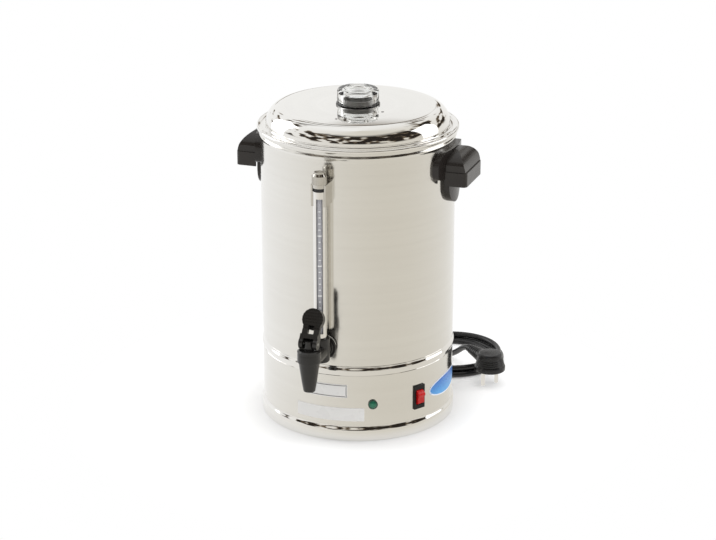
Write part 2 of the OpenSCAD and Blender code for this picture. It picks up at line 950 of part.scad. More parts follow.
module tap_lever() {
    color("#181818")
        lever_frame()
            difference() {
                union() {
                    translate([-cheek_out, 0, 0])
                        rotate([0, 90, 0])
                            cylinder(r = cheek_r, h = 2 * cheek_out);
                    rotate([-lever_lean, 0, 0])
                        translate([-stem_w / 2, -lever_t / 2, 0])
                            cube([stem_w, lever_t, lever_len + 6]);
                    rotate([-lever_lean, 0, 0])
                        translate([boss_step - cheek_out, 0.6 - cheek_r, 0])
                            cube([2 * (cheek_out - boss_step), 2 * cheek_r - 1.2, 9.5]);
                    disc_frame()
                        cylinder(r = disc_r, h = disc_t, center = true);
                }
                translate([-cheek_in, 0, 0])
                    rotate([0, 90, 0])
                        cylinder(r = yoke_gap_r, h = 2 * cheek_in);
                translate([-cheek_out - 1, 0, 0])
                    rotate([0, 90, 0])
                        cylinder(r = pin_r + fit, h = 2 * cheek_out + 2);
                rotate([-lever_lean, 0, 0])
                    translate([-3.5, -lever_t, 10.5])
                        cube([7, 2 * lever_t, 9.5]);
                disc_frame()
                    for (i = [-3:3])
                        translate([-disc_r - 1, i * rib_pitch - rib_w / 2, disc_t / 2 - 0.9])
                            cube([2 * disc_r + 2, rib_w, 2]);
            }
}

// The grip disc's own frame: z along its axis, away from the urn
module disc_frame() {
    rotate([-lever_lean, 0, 0])
        translate([0, 0, disc_up])
            rotate([lever_lean - disc_tilt, 0, 0])
                rotate([90, 0, 0])
                    children();
}

module lever_pin() {
    color("gainsboro")
        lever_frame()
            translate([-cheek_out, 0, 0])
                rotate([0, 90, 0])
                    cylinder(r = pin_r, h = 2 * cheek_out);
}

// ---- sight gauge ----

module gauge_glass() {
    color("azure", 0.5)
        gauge_axis()
            translate([0, 0, glass_low])
                difference() {
                    cylinder(r = glass_r, h = glass_top - glass_low);
                    translate([0, 0, -1])
                        cylinder(r = glass_r - glass_wall, h = glass_top - glass_low + 2);
                }
}

module gauge_guard() {
    color("silver")
        gauge_axis()
            difference() {
                translate([0, 0, socket_top])
                    cylinder(r = guard_r, h = guard_top - socket_top);
                translate([0, 0, socket_top - 1])
                    cylinder(r = guard_r - guard_wall, h = guard_top - socket_top + 2);
                rotate([0, 0, guard_slot_turn])
                    translate([-guard_slot_w / 2, -guard_r - 1, slot_low])
                        cube([guard_slot_w, guard_r, slot_top - slot_low]);
            }
}

module gauge_bracket() {
    color("silver")
        difference() {
            translate([-bracket_w / 2, -gauge_reach - 4, bracket_low])
                cube([bracket_w, gauge_reach + 4 - body_r + 5, bracket_top - bracket_low]);
            gauge_axis()
                translate([0, 0, bracket_low - 1])
                    cylinder(r = guard_r + fit, h = guard_top - bracket_low + 1);
            gauge_axis()
                translate([0, 0, guard_top - eps])
                    cylinder(r = guard_r + 0.5, h = 20);
            translate([0, 0, bracket_low - 1])
                cylinder(r = body_r, h = bracket_top - bracket_low + 2, $fn = 180);
            translate([0, 0, bracket_screw_z])
                radial(screw_r, body_r - 5, gauge_reach);
        }
}

module bracket_screw() {
    color("gainsboro")
        translate([0, 0, bracket_screw_z]) {
            radial(screw_r, inner_r - 1, gauge_reach - guard_r - 1);
            radial(screw_head_r, inner_r - 1 - screw_head_h, inner_r - 1);
        }
}

module gauge_seals() {
    color("#202020")
        gauge_axis() {
            difference() {
                translate([0, 0, guard_top])
                    cylinder(r = guard_r - 0.6, h = seal_h);
                translate([0, 0, guard_top - 1])
                    cylinder(r = glass_r, h = seal_h + 2);
            }
            difference() {
                translate([0, 0, socket_top - 3])
                    cylinder(r = guard_r - guard_wall - 0.1, h = 4);
                translate([0, 0, socket_top - 4])
                    cylinder(r = glass_r, h = 6);
            }
        }
}

module gauge_cap() {
    knurls = 28;
    color("gainsboro")
        gauge_axis()
            difference() {
                union() {
                    translate([0, 0, cap_low])
                        cylinder(r = guard_r + 0.3, h = cap_flange_h);
                    translate([0, 0, cap_low + cap_flange_h])
                        cylinder(r = cap_r, h = cap_knurl_h);
                    translate([0, 0, cap_low + cap_flange_h + cap_knurl_h])
                        cylinder(r1 = cap_r - 0.6, r2 = cap_r - 2, h = cap_cone_h);
                    translate([0, 0, cap_top - 2])
                        cylinder(r = cap_r - 2.6, h = 2);
                }
                translate([0, 0, cap_low - 1])
                    cylinder(r = glass_r, h = glass_top - cap_low + 1);
                for (i = [0:knurls - 1])
                    rotate([0, 0, 360 * i / knurls])
                        translate([cap_r - 0.35, -0.45, cap_low + cap_flange_h + 0.6])
                            cube([2, 0.9, cap_knurl_h - 1.2]);
            }
}

// ---- switch and pilot lamp ----

module switch_frame() {
    at_angle(switch_angle)
        translate([0, -body_r, controls_z])
            children();
}

module switch_housing() {
    window_w = rocker_w + 0.8;
    window_h = 2 * rocker_r + 0.8;
    color("#141414")
        switch_frame()
            difference() {
                union() {
                    difference() {
                        translate([-switch_w / 2, -frame_t, -switch_h / 2])
                            cube([switch_w, frame_t + 2, switch_h]);
                        translate([0, body_r, -switch_h])
                            cylinder(r = body_r, h = 2 * switch_h, $fn = 180);
                    }
                    translate([-switch_body_w / 2, -frame_t + 0.5, -switch_body_h / 2])
                        cube([switch_body_w, switch_depth, switch_body_h]);
                }
                translate([-window_w / 2, -frame_t - 1, -window_h / 2])
                    cube([window_w, rocker_r + frame_t + 2.5, window_h]);
                translate([-rocker_pin_half, rocker_in, 0])
                    rotate([0, 90, 0])
                        cylinder(r = rocker_pin_r, h = 2 * rocker_pin_half);
            }
}

// The rocker: a round-backed wedge that rests with its upper end out
module switch_rocker() {
    tip = 7.6;
    color("#d01c1c")
        switch_frame()
            translate([0, rocker_in, 0])
                difference() {
                    intersection() {
                        translate([-rocker_w / 2, 0, 0])
                            rotate([0, 90, 0])
                                cylinder(r = rocker_r, h = rocker_w);
                        rotate([rocker_tilt, 0, 0])
                            translate([-rocker_w / 2 - 1, 0, 0])
                                rotate([90, 0, 90])
                                    linear_extrude(height = rocker_w + 2)
                                        polygon([
                                            [6, -5], [6, 5], [0, rocker_r + 1], [-tip, 7], [-tip + 1.8, 0],
                                            [-tip, -7], [0, -rocker_r - 1]
                                        ]);
                    }
                    translate([-rocker_w, 0, 0])
                        rotate([0, 90, 0])
                            cylinder(r = rocker_pin_r + fit, h = 2 * rocker_w);
                }
}

module rocker_pin() {
    color("gainsboro")
        switch_frame()
            translate([-rocker_pin_half, rocker_in, 0])
                rotate([0, 90, 0])
                    cylinder(r = rocker_pin_r, h = 2 * rocker_pin_half);
}

module switch_terminals() {
    color("gold")
        switch_frame()
            for (z = [-8, 0, 8])
                translate([-3.15, switch_depth - frame_t + 0.5, z - 0.4])
                    cube([6.3, 8, 0.8]);
}

module lamp_frame() {
    at_angle(lamp_angle)
        translate([0, 0, controls_z])
            children();
}

module pilot_lens() {
    dome_r = 7.5;
    dome_sink = 5.9;
    color("#1fae6f")
        lamp_frame()
            difference() {
                union() {
                    radial(lens_body_r, body_r - lens_depth, body_r + 0.5);
                    difference() {
                        radial(lamp_r, body_r - 2, body_r + lens_flange_t);
                        translate([0, 0, -20])
                            cylinder(r = body_r, h = 40, $fn = 180);
                    }
                    intersection() {
                        translate([0, -body_r - lens_flange_t + dome_sink, 0])
                            sphere(r = dome_r, $fn = 64);
                        radial(lamp_r - 0.8, body_r + 0.5, body_r + lens_flange_t + 5);
                    }
                }
                radial(lens_body_r - 1, body_r - lens_depth - 1, body_r - 1);
            }
}

module pilot_ring() {
    color("white")
        lamp_frame()
            difference() {
                intersection() {
                    radial(lens_body_r + 2.5, skirt_inner_r - 3, skirt_inner_r + 1);
                    translate([0, 0, -20])
                        cylinder(r = skirt_inner_r - fit, h = 40, $fn = 180);
                }
                radial(lens_body_r, skirt_inner_r - 5, skirt_inner_r + 2);
            }
}

// ---- plain labels on the skirt ----

label_t = 0.25;
label_gap = 0.03;
lower_label_from = -19;
lower_label_to = 23;
oval_angle = 88;

// A thin patch on the skirt, between two angles and two heights
module patch(from, to, low, high) {
    mid = (from + to) / 2;
    half = body_r * sin((to - from) / 2);
    at_angle(mid)
        intersection() {
            sleeve(body_r + label_t, body_r + label_gap, low, high);
            translate([-half, -body_r - 5, low])
                cube([2 * half, body_r, high - low]);
        }
}

module front_label() {
    color("whitesmoke")
        patch(-front_label_half, front_label_half, front_label_z, front_label_z + front_label_h);
}

module lower_label() {
    color("whitesmoke")
        patch(lower_label_from, lower_label_to, lower_label_z, lower_label_z + lower_label_h);
}

module side_label() {
    steps = 40;
    color("#3f86d8")
        at_angle(oval_angle)
            intersection() {
                sleeve(body_r + label_t, body_r + label_gap, oval_z - oval_h, oval_z + oval_h);
                rotate([90, 0, 0])
                    linear_extrude(height = body_r + 5)
                        polygon([
                            for (i = [0:steps - 1])
                                let (a = 360 * i / steps)
                                    [oval_half * cos(a), oval_z + oval_h / 2 * sin(a)]
                        ]);
            }
}

// ---- lid ----

function crown_z(r) =
    lid_shoulder_z + crown_rise * (1 - pow((r - knob_seat_r) / (shoulder_mid_r - knob_seat_r), 2));

function crown_radii() =
    [for (i = [0:6]) knob_seat_r + (shoulder_mid_r - knob_seat_r) * i / 6];

// The rounded shoulder, from the top down to the side, with the sheet's thickness taken off
function shoulder_curve(t) =
    [for (a = [81:-9:0])
        [
            shoulder_mid_r + (shoulder_run - t) * cos(a),
            shoulder_foot_z + (lid_shoulder_z - t - shoulder_foot_z) * sin(a)
        ]];

// The outer face of the lid, from the knob's hole to the rolled rim
function lid_outer() =
    concat(
        [[knob_hole_r, lid_top]],
        [for (r = crown_radii()) [r, crown_z(r)]],
        shoulder_curve(0),
        [[shoulder_r + 0.8, lid_under + 1.4], [shoulder_r + 2.2, lid_under + lid_t]],
        [[lid_r - 2.4, lid_under + lid_t]],
        arc(lid_r - 1.6, lid_under + lid_t - 0.6, 1.6, 80, 0, 5)
    );

function lid_inner() =
    concat(
        [[lid_r, lid_under - lid_curl_drop], [lid_r - lid_t, lid_under - lid_curl_drop]],
        [[lid_r - lid_t, lid_under], [collar_r, lid_under], [collar_r, lid_under - collar_h]],
        [[collar_r - lid_t, lid_under - collar_h], [collar_r - lid_t, lid_under - 0.2]],
        [[shoulder_r + 1.4, lid_under - 0.2], [shoulder_r - 0.3, lid_under + 0.7]],
        [let (c = shoulder_curve(lid_t)) for (i = [len(c) - 1:-1:0]) c[i]],
        [let (c = crown_radii()) for (i = [len(c) - 1:-1:0]) [c[i], crown_z(c[i]) - lid_t]],
        [[knob_hole_r, lid_top - lid_t]]
    );

module lid() {
    color("silver")
        difference() {
            rotate_extrude($fn = 180)
                polygon(concat(lid_outer(), lid_inner()));
            for (v = vent_places)
                rotate([0, 0, v[1]])
                    translate([v[0], 0, lid_top - 5])
                        cylinder(r = vent_r, h = 10);
        }
}

module knob_collar() {
    color("gray")
        difference() {
            union() {
                translate([0, 0, lid_top - lid_t - 1.2])
                    cylinder(r = knob_collar_r + 3.5, h = 1.2);
                translate([0, 0, lid_top - lid_t - 1.2])
                    cylinder(r = knob_collar_r, h = knob_collar_h + lid_t + 1.2);
            }
            translate([0, 0, lid_top - 5])
                cylinder(r = knob_collar_r - 1.4, h = knob_collar_h + 10);
        }
}

module lid_knob() {
    wall_r = knob_r;
    top_wall = 5;
    color("white", 0.4)
        difference() {
            rotate_extrude($fn = 96)
                polygon(concat(
                    [[0, lid_top], [knob_foot_r, lid_top], [knob_foot_r, lid_top + 2]],
                    [[wall_r + 0.4, lid_top + 3.2], [wall_r, lid_top + 5]],
                    arc(wall_r - 3, knob_top - 3, 3, 0, 90, 5),
                    [[16.5, knob_top], [16, knob_top - 0.8], [15, knob_top - 0.8], [14.5, knob_top]],
                    [[9.6, knob_top], [9.2, knob_top - 1.6], [0, knob_top - 1.6]]
                ));
            translate([0, 0, lid_top - 1])
                cylinder(r = knob_collar_r, h = knob_h - top_wall + 1);
        }
}

// ---- percolator ----

module pump_bell() {
    t = 1;
    color("silver")
        difference() {
            rotate_extrude()
                polygon([
                    [bell_r, well_z], [bell_r, well_z + 3], [tube_r + 3, well_z + bell_h - 4],
                    [tube_r + t, well_z + bell_h], [tube_r + t, well_z + bell_h + 8],
                    [tube_r, well_z + bell_h + 8], [tube_r, well_z + bell_h - 1],
                    [tube_r + 2, well_z + bell_h - 5], [bell_r - t, well_z + 2.5], [bell_r - t, well_z]
                ]);
            for (a = [0:60:300])
                rotate([0, 0, a])
                    translate([bell_r - 3, -3, well_z - 1])
                        cube([5, 6, 2.6]);
        }
}

module pump_tube() {
    color("silver")
        difference() {
            union() {
                translate([0, 0, well_z + bell_h])
                    cylinder(r = tube_r, h = tube_top - well_z - bell_h);
                translate([0, 0, stop_z - stop_h])
                    cylinder(r = stop_r, h = stop_h);
            }
            translate([0, 0, well_z])
                cylinder(r = tube_bore_r, h = tube_top);
        }
}

// Rings of small holes through a plate
module perforation(rings, first, pitch, low, high) {
    for (k = [0:rings - 1])
        for (i = [0:6 * (k + 1) - 1])
            rotate([0, 0, 60 * i / (k + 1)])
                translate([first + pitch * k, 0, low])
                    cylinder(r = hole_r, h = high - low, $fn = 16);
}

module filter_basket() {
    color("silver")
        difference() {
            rotate_extrude($fn = 120)
                polygon([
                    [sleeve_r, stop_z], [basket_r, stop_z], [basket_r, basket_top - basket_wall],
                    [basket_r + basket_lip, basket_top - basket_wall], [basket_r + basket_lip, basket_top],
                    [basket_r - basket_wall, basket_top],
                    [basket_r - basket_wall, stop_z + basket_wall],
                    [sleeve_r + basket_wall, stop_z + basket_wall],
                    [sleeve_r + basket_wall, basket_top - 6], [sleeve_r, basket_top - 6]
                ]);
            perforation(4, hole_first, hole_pitch, stop_z - 1, stop_z + 2);
        }
}

module basket_cover() {
    color("silver")
        difference() {
            rotate_extrude($fn = 120)
                polygon([
                    [sleeve_r, basket_top], [basket_r + basket_lip, basket_top],
                    [basket_r + basket_lip, basket_top + cover_rim_h],
                    [basket_r + basket_lip - cover_t, basket_top + cover_rim_h],
                    [basket_r + basket_lip - cover_t, basket_top + cover_t],
                    [sleeve_r + cover_t, basket_top + cover_t], [sleeve_r + cover_t, basket_top + cover_neck_h],
                    [sleeve_r, basket_top + cover_neck_h]
                ]);
            perforation(4, hole_first, hole_pitch, basket_top - 1, basket_top + cover_t + 1);
        }
}

// ---- mains lead ----

relief_neck_r = 6;

// The frame of the lead, its coil and its plug: y counts from the end of the strain relief
module lead_frame() {
    translate([0, body_r + relief_len, 0])
        children();
}

module cord_relief() {
    color("#151515")
        at_angle(180)
            translate([0, 0, cord_exit_z])
                difference() {
                    union() {
                        radial(relief_neck_r, skirt_inner_r - 6, body_r + 1);
                        radial(relief_neck_r + 2, skirt_inner_r - 6, skirt_inner_r - 2);
                        radial(relief_neck_r + 1.6, body_r + 0.3, body_r + 3);
                        translate([0, -body_r - 3 + eps, 0])
                            rotate([90, 0, 0])
                                cylinder(r1 = relief_neck_r, r2 = cord_d / 2 + 0.8, h = relief_len - 3);
                    }
                    radial(cord_d / 2, skirt_inner_r - 8, body_r + relief_len + 1);
                }
}

module cord_lead() {
    color("#1a1a1a")
        lead_frame()
            swept(concat(
                [[0, skirt_inner_r - 5 - body_r - relief_len, cord_exit_z], [0, -4, cord_exit_z]],
                lead_route
            ), cord_d / 2, 10);
}

module cord_coil() {
    z = cord_d + 0.2;
    color("#1a1a1a")
        lead_frame()
            translate([coil_x, coil_y, 0])
                rotate_extrude($fn = 96)
                    polygon([
                        [coil_in, 0], [coil_out, 0], [coil_out, z], [coil_upper_out, z],
                        [coil_upper_out, 2 * z - 1], [coil_upper_in, 2 * z - 1], [coil_upper_in, z],
                        [coil_in, z]
                    ]);
}

module cord_tail() {
    color("#1a1a1a")
        lead_frame()
            swept(tail_route, cord_d / 2, 10);
}

module plug_frame() {
    lead_frame()
        translate([plug_x, plug_y, 0])
            rotate([0, 0, plug_turn])
                children();
}

module plug_body() {
    color("#171717")
        plug_frame()
            difference() {
                union() {
                    translate([0, 0, pin_len])
                        cylinder(r = plug_r, h = 6);
                    translate([0, 0, pin_len + 6 - eps])
                        cylinder(r1 = plug_r - 1, r2 = plug_r - 4.5, h = plug_h - 6);
                    translate([8, 0, plug_axis_z])
                        rotate([0, 90, 0])
                            cylinder(r1 = 9.5, r2 = cord_d / 2 + 1.2, h = boot_len + plug_r - 8);
                }
                translate([plug_r + boot_len - 16, 0, plug_axis_z])
                    rotate([0, 90, 0])
                        cylinder(r = cord_d / 2 + fit, h = 20);
                for (y = [-pin_gap / 2, pin_gap / 2])
                    translate([0, y, pin_len - 1])
                        cylinder(r = plug_pin_r, h = 7);
            }
}

module plug_pins() {
    color("gainsboro")
        plug_frame()
            for (y = [-pin_gap / 2, pin_gap / 2])
                translate([0, y, 0])
                    cylinder(r = plug_pin_r, h = pin_len + 6);
}

tank();
base_skirt();
base_plate();
feet();
foot_screws();
heater_plate();
heating_element();
warming_element();
heater_stud();
heater_nut();
thermostat();
dry_boil_cutout();
terminal_block();
wiring();
left_handle_shield();
right_handle_shield();
left_handle_grip();
right_handle_grip();
handle_screws();
tap_body();
tap_seals();
tap_nut();
tap_bonnet();
valve_stem();
seat_cup();
tap_lever();
lever_pin();
gauge_glass();
gauge_guard();
gauge_bracket();
bracket_screw();
gauge_seals();
gauge_cap();
switch_housing();
switch_rocker();
rocker_pin();
switch_terminals();
pilot_lens();
pilot_ring();
front_label();
lower_label();
side_label();
lid();
knob_collar();
lid_knob();
pump_tube();
pump_bell();
filter_basket();
basket_cover();
cord_relief();
cord_lead();
cord_coil();
cord_tail();
plug_body();
plug_pins();
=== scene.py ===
"""Dresses the percolating coffee urn: steel shells, lid, tap, gauge, handles, controls, mains lead.

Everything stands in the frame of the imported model: the origin is the centre of the base on the
table, +Z is up, the tap points along -Y and the handles stand out along +X and -X. Sizes in the
classes are millimetres, as a maker writes them, and the finished pieces are metres.
"""

import json
import logging
import math
from dataclasses import dataclass
from enum import Enum
from typing import Any, Optional, Sequence

import bmesh
import bpy
from mathutils import Matrix, Vector


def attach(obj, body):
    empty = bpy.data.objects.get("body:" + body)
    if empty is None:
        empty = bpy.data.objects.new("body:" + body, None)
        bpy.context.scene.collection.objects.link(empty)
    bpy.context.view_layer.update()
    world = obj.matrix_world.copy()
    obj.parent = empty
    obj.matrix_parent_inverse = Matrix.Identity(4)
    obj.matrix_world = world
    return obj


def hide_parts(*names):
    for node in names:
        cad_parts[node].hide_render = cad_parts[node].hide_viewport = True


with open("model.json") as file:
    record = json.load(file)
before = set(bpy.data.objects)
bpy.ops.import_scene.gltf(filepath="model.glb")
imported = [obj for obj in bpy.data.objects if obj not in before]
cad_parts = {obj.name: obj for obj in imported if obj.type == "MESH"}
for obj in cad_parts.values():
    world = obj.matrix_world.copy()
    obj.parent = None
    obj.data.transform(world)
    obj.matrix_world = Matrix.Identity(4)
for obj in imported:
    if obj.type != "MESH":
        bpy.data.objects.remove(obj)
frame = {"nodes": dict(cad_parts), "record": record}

MM = 0.001
LEVEL = (1.0, 1.0, 0.0)
WHITE = (1.0, 1.0, 1.0)
SHARP_FROM = 30.0
FLAT_UNDER = 0.7
UPRIGHT = Matrix.Rotation(math.radians(90), 4, "X")
LOG = logging.getLogger("urn")

Colour = tuple[float, float, float]
Profile = list[tuple[float, float]]


# ---- finishes ----


class Effect(Enum):
    """Surface effects that more than one finish uses."""

    TURNED_LINES = "turned_lines"
    SMUDGES = "smudges"
    FINE_SCRATCHES = "fine_scratches"
    MOULDED_SKIN = "moulded_skin"


class NodeBench:
    """Places shader nodes in one tree and joins them."""

    def __init__(self, tree: bpy.types.NodeTree, owner: Optional[bpy.types.Material] = None) -> None:
        """Keeps the tree that the nodes go in.

        Args:
            tree: A material's, world's or group's node tree.
            owner: The material, if the tree is a material's.
        """
        self.tree = tree
        self.owner = owner

    def add(self, kind: str, values: Optional[dict[Any, Any]] = None, **settings: Any) -> Any:
        """Adds a node, sets its settings, and fills or joins its inputs.

        Args:
            kind: The node's type name.
            values: Input name or index to a plain value or to another node's output.
            **settings: Attributes of the node.

        Returns:
            The new node.
        """
        node = self.tree.nodes.new(kind)
        for key, value in settings.items():
            setattr(node, key, value)
        self.fill(node, values or {})
        return node

    def fill(self, node: Any, values: dict[Any, Any]) -> None:
        """Joins other nodes' outputs to a node's inputs, or sets the inputs' own values.

        Args:
            node: The node.
            values: Input name or index to an output socket or a plain value.
        """
        for key, value in values.items():
            socket = node.inputs[key]
            if isinstance(value, bpy.types.NodeSocket):
                self.tree.links.new(value, socket)
            elif isinstance(value, tuple) and socket.type == "RGBA" and len(value) == 3:
                socket.default_value = (*value, 1.0)
            else:
                socket.default_value = value

    def effect(self, effect: Effect, **values: Any) -> Any:
        """Places a shared effect's group with its own values.

        Args:
            effect: Which effect.
            **values: Input names to values or outputs.

        Returns:
            The group's outputs.
        """
        group = bpy.data.node_groups[effect.value]
        return self.add("ShaderNodeGroup", values, node_tree=group).outputs

    def maths(self, operation: str, first: Any, second: Any = 0.0) -> Any:
        """Returns the output of a Math node.

        Args:
            operation: The Math node's operation.
            first: Value or output.
            second: Value or output.

        Returns:
            The node's output socket.
        """
        return self.add("ShaderNodeMath", {0: first, 1: second}, operation=operation).outputs[0]

    def weighed(self, *terms: tuple[Any, float]) -> Any:
        """Returns the sum of outputs, each times its weight.

        Args:
            *terms: Pairs of output and weight.

        Returns:
            The last node's output socket.
        """
        total, *others = [self.maths("MULTIPLY", *term) for term in terms]
        for other in others:
            total = self.maths("ADD", total, other)
        return total

    def vector(self, operation: str, first: Any, second: Any = (0.0, 0.0, 0.0)) -> Any:
        """Returns the output of a Vector Math node.

        Args:
            operation: The node's operation.
            first: Vector or output.
            second: Vector, scale or output.

        Returns:
            The node's number for a length, distance or product, and else its vector.
        """
        values = {0: first, "Scale" if operation == "SCALE" else 1: second}
        outputs = self.add("ShaderNodeVectorMath", values, operation=operation).outputs
        return outputs["Value" if operation in ("LENGTH", "DISTANCE", "DOT_PRODUCT") else "Vector"]

    def height(self, where: Any) -> Any:
        """Returns the Z of a place or direction."""
        return self.add("ShaderNodeSeparateXYZ", {0: where}).outputs["Z"]

    def noise(self, where: Any, scale: Any, detail: float, rough: float = 0.5, twist: float = 0.0) -> Any:
        """Returns the value of a Noise Texture node.

        Args:
            where: Place that it is read at.
            scale: Its scale.
            detail: Its detail.
            rough: Its roughness.
            twist: Its distortion.
        """
        keys = {"Vector": where, "Scale": scale, "Detail": detail, "Roughness": rough, "Distortion": twist}
        return self.add("ShaderNodeTexNoise", keys).outputs[0]

    def ramp(self, value: Any, low: float, high: float, start: float = 0.0, end: float = 1.0) -> Any:
        """Maps a value from one range to another, clamped.

        Args:
            value: Output to map.
            low: Start of the range read.
            high: End of the range read.
            start: Result at low.
            end: Result at high.

        Returns:
            The node's output socket.
        """
        keys = {"Value": value, "From Min": low, "From Max": high, "To Min": start, "To Max": end}
        return self.add("ShaderNodeMapRange", keys).outputs["Result"]

    def blend(self, factor: Any, first: Any, second: Any) -> Any:
        """Returns the output of a colour Mix node.

        Args:
            factor: Value or output, 0 for the first colour.
            first: Colour or output.
            second: Colour or output.

        Returns:
            The node's colour output.
        """
        return self.add("ShaderNodeMix", {0: factor, 6: first, 7: second}, data_type="RGBA").outputs[2]


def make_effect(
    effect: Effect, inputs: dict[str, float], outputs: Sequence[str]
) -> tuple[NodeBench, Any, Any]:
    """Starts the group of a shared effect.

    Args:
        effect: Which effect.
        inputs: Names and default values of its number inputs; it always has a Vector.
        outputs: Names of its number outputs.

    Returns:
        A bench on the group, the outputs of its input node, and its output node.
    """
    tree = bpy.data.node_groups.new(effect.value, "ShaderNodeTree")
    tree.interface.new_socket("Vector", in_out="INPUT", socket_type="NodeSocketVector")
    for name, value in inputs.items():
        socket = tree.interface.new_socket(name, in_out="INPUT", socket_type="NodeSocketFloat")
        socket.default_value = value
    for name in outputs:
        tree.interface.new_socket(name, in_out="OUTPUT", socket_type="NodeSocketFloat")
    bench = NodeBench(tree)
    return bench, bench.add("NodeGroupInput").outputs, bench.add("NodeGroupOutput")


def make_effects() -> None:
    """Builds the groups of all shared effects once."""
    bench, given, made = make_effect(Effect.TURNED_LINES, {"Along": 3.0, "Across": 900.0}, ["Lines", "Bands"])
    where = given["Vector"]
    radius = bench.vector("LENGTH", bench.vector("MULTIPLY", where, LEVEL))
    place = bench.add("ShaderNodeCombineXYZ", {0: radius, 1: bench.height(where)}).outputs[0]
    along = bench.vector("SCALE", where, given["Along"])
    spot = bench.vector("ADD", bench.vector("SCALE", place, given["Across"]), along)
    bands = bench.noise(bench.vector("SCALE", spot, 0.07), 1.0, 2.0)
    bench.fill(made, {"Lines": bench.noise(spot, 1.0, 4.0, 0.65), "Bands": bench.ramp(bands, 0.3, 0.7)})

    bench, given, made = make_effect(Effect.SMUDGES, {"Size": 9.0}, ["Smudge"])
    noise = bench.noise(given["Vector"], given["Size"], 3.0, twist=0.6)
    bench.fill(made, {"Smudge": bench.ramp(noise, 0.35, 0.7)})

    bench, given, made = make_effect(Effect.FINE_SCRATCHES, {"Count": 60.0}, ["Scratch"])
    keys = {"Vector": given["Vector"], "Axis": (0.3, 0.4, 0.86), "Angle": 0.6}
    turned = bench.add("ShaderNodeVectorRotate", keys).outputs[0]
    noise = bench.noise(bench.vector("MULTIPLY", turned, (1.0, 26.0, 9.0)), given["Count"], 2.0, 0.7)
    bench.fill(made, {"Scratch": bench.ramp(noise, 0.66, 0.76)})

    bench, given, made = make_effect(Effect.MOULDED_SKIN, {"Grain": 900.0}, ["Height", "Tone"])
    where, grain = given["Vector"], given["Grain"]
    cells = bench.add("ShaderNodeTexVoronoi", {"Vector": where, "Scale": grain}).outputs[0]
    height = bench.weighed((bench.noise(where, grain, 2.0, 0.55), 0.6), (cells, 0.4))
    bench.fill(made, {"Height": height, "Tone": bench.ramp(bench.noise(where, 38.0, 3.0), 0.32, 0.68)})


def blank(name: str) -> tuple[NodeBench, Any, Any]:
    """Starts a material.

    Args:
        name: The material's name.

    Returns:
        A bench on its tree, its Principled node, and the Object coordinates.
    """
    material = bpy.data.materials.new("finish_" + name)
    material.use_nodes = True
    bench = NodeBench(material.node_tree, material)
    shader = material.node_tree.nodes["Principled BSDF"]
    return bench, shader, bench.add("ShaderNodeTexCoord").outputs["Object"]


@dataclass(frozen=True)
class Steel:
    """Sheet or turned steel: tone, polish, turning lines, smudges and scratches."""

    name: str
    tone: Colour = (0.70, 0.68, 0.645)
    deep: Colour = (0.62, 0.60, 0.565)
    polish: tuple[float, float] = (0.2, 0.3)
    across: float = 1500.0
    along: float = 2.5
    line_height: float = 0.02
    line_strength: float = 0.35
    scratch: float = 0.08
    smudge: float = 0.04

    def material(self) -> bpy.types.Material:
        """Returns the finish as a new material."""
        bench, shader, where = blank(self.name)
        lines = bench.effect(Effect.TURNED_LINES, Vector=where, Along=self.along, Across=self.across)
        smudge = bench.effect(Effect.SMUDGES, Vector=where, Size=11.0)["Smudge"]
        scratch = bench.effect(Effect.FINE_SCRATCHES, Vector=where, Count=55.0)["Scratch"]
        shade = bench.weighed((lines["Lines"], 0.55), (lines["Bands"], 0.3), (smudge, 0.15))
        rough = bench.ramp(lines["Lines"], 0.3, 0.7, *self.polish)
        keys = {"Height": lines["Lines"], "Strength": self.line_strength, "Distance": self.line_height * MM}
        bench.fill(shader, {
            "Base Color": bench.blend(bench.ramp(shade, 0.25, 0.8), self.tone, self.deep),
            "Metallic": 1.0,
            "Roughness": bench.weighed((rough, 1.0), (smudge, self.smudge), (scratch, self.scratch)),
            "Normal": bench.add("ShaderNodeBump", keys).outputs[0],
        })
        return bench.owner


@dataclass(frozen=True)
class Moulded:
    """Moulded plastic or rubber: colour, gloss and a fine skin."""

    name: str
    tone: Colour
    deep: Colour
    gloss: tuple[float, float] = (0.32, 0.42)
    grain_height: float = 0.03
    shine: float = 0.5

    def material(self) -> bpy.types.Material:
        """Returns the finish as a new material."""
        bench, shader, where = blank(self.name)
        skin = bench.effect(Effect.MOULDED_SKIN, Vector=where, Grain=1400.0)
        smudge = bench.effect(Effect.SMUDGES, Vector=where, Size=30.0)["Smudge"]
        scratch = bench.effect(Effect.FINE_SCRATCHES, Vector=where, Count=130.0)["Scratch"]
        rough = bench.ramp(skin["Tone"], 0.0, 1.0, *self.gloss)
        keys = {"Height": skin["Height"], "Strength": 0.5, "Distance": self.grain_height * MM}
        bench.fill(shader, {
            "Base Color": bench.blend(skin["Tone"], self.tone, self.deep),
            "Roughness": bench.weighed((rough, 1.0), (smudge, 0.05), (scratch, 0.08)),
            "Normal": bench.add("ShaderNodeBump", keys).outputs[0],
            "Specular IOR Level": self.shine,
        })
        return bench.owner


@dataclass(frozen=True)
class Clear:
    """Glass or clear plastic."""

    name: str
    tone: Colour = (0.97, 0.98, 0.98)
    index: float = 1.47
    gloss: tuple[float, float] = (0.01, 0.05)
    clear: float = 1.0

    def material(self) -> bpy.types.Material:
        """Returns the finish as a new material."""
        bench, shader, where = blank(self.name)
        smudge = bench.effect(Effect.SMUDGES, Vector=where, Size=70.0)["Smudge"]
        bench.fill(shader, {
            "Base Color": self.tone,
            "Transmission Weight": self.clear,
            "IOR": self.index,
            "Roughness": bench.ramp(smudge, 0.0, 1.0, *self.gloss),
        })
        return bench.owner


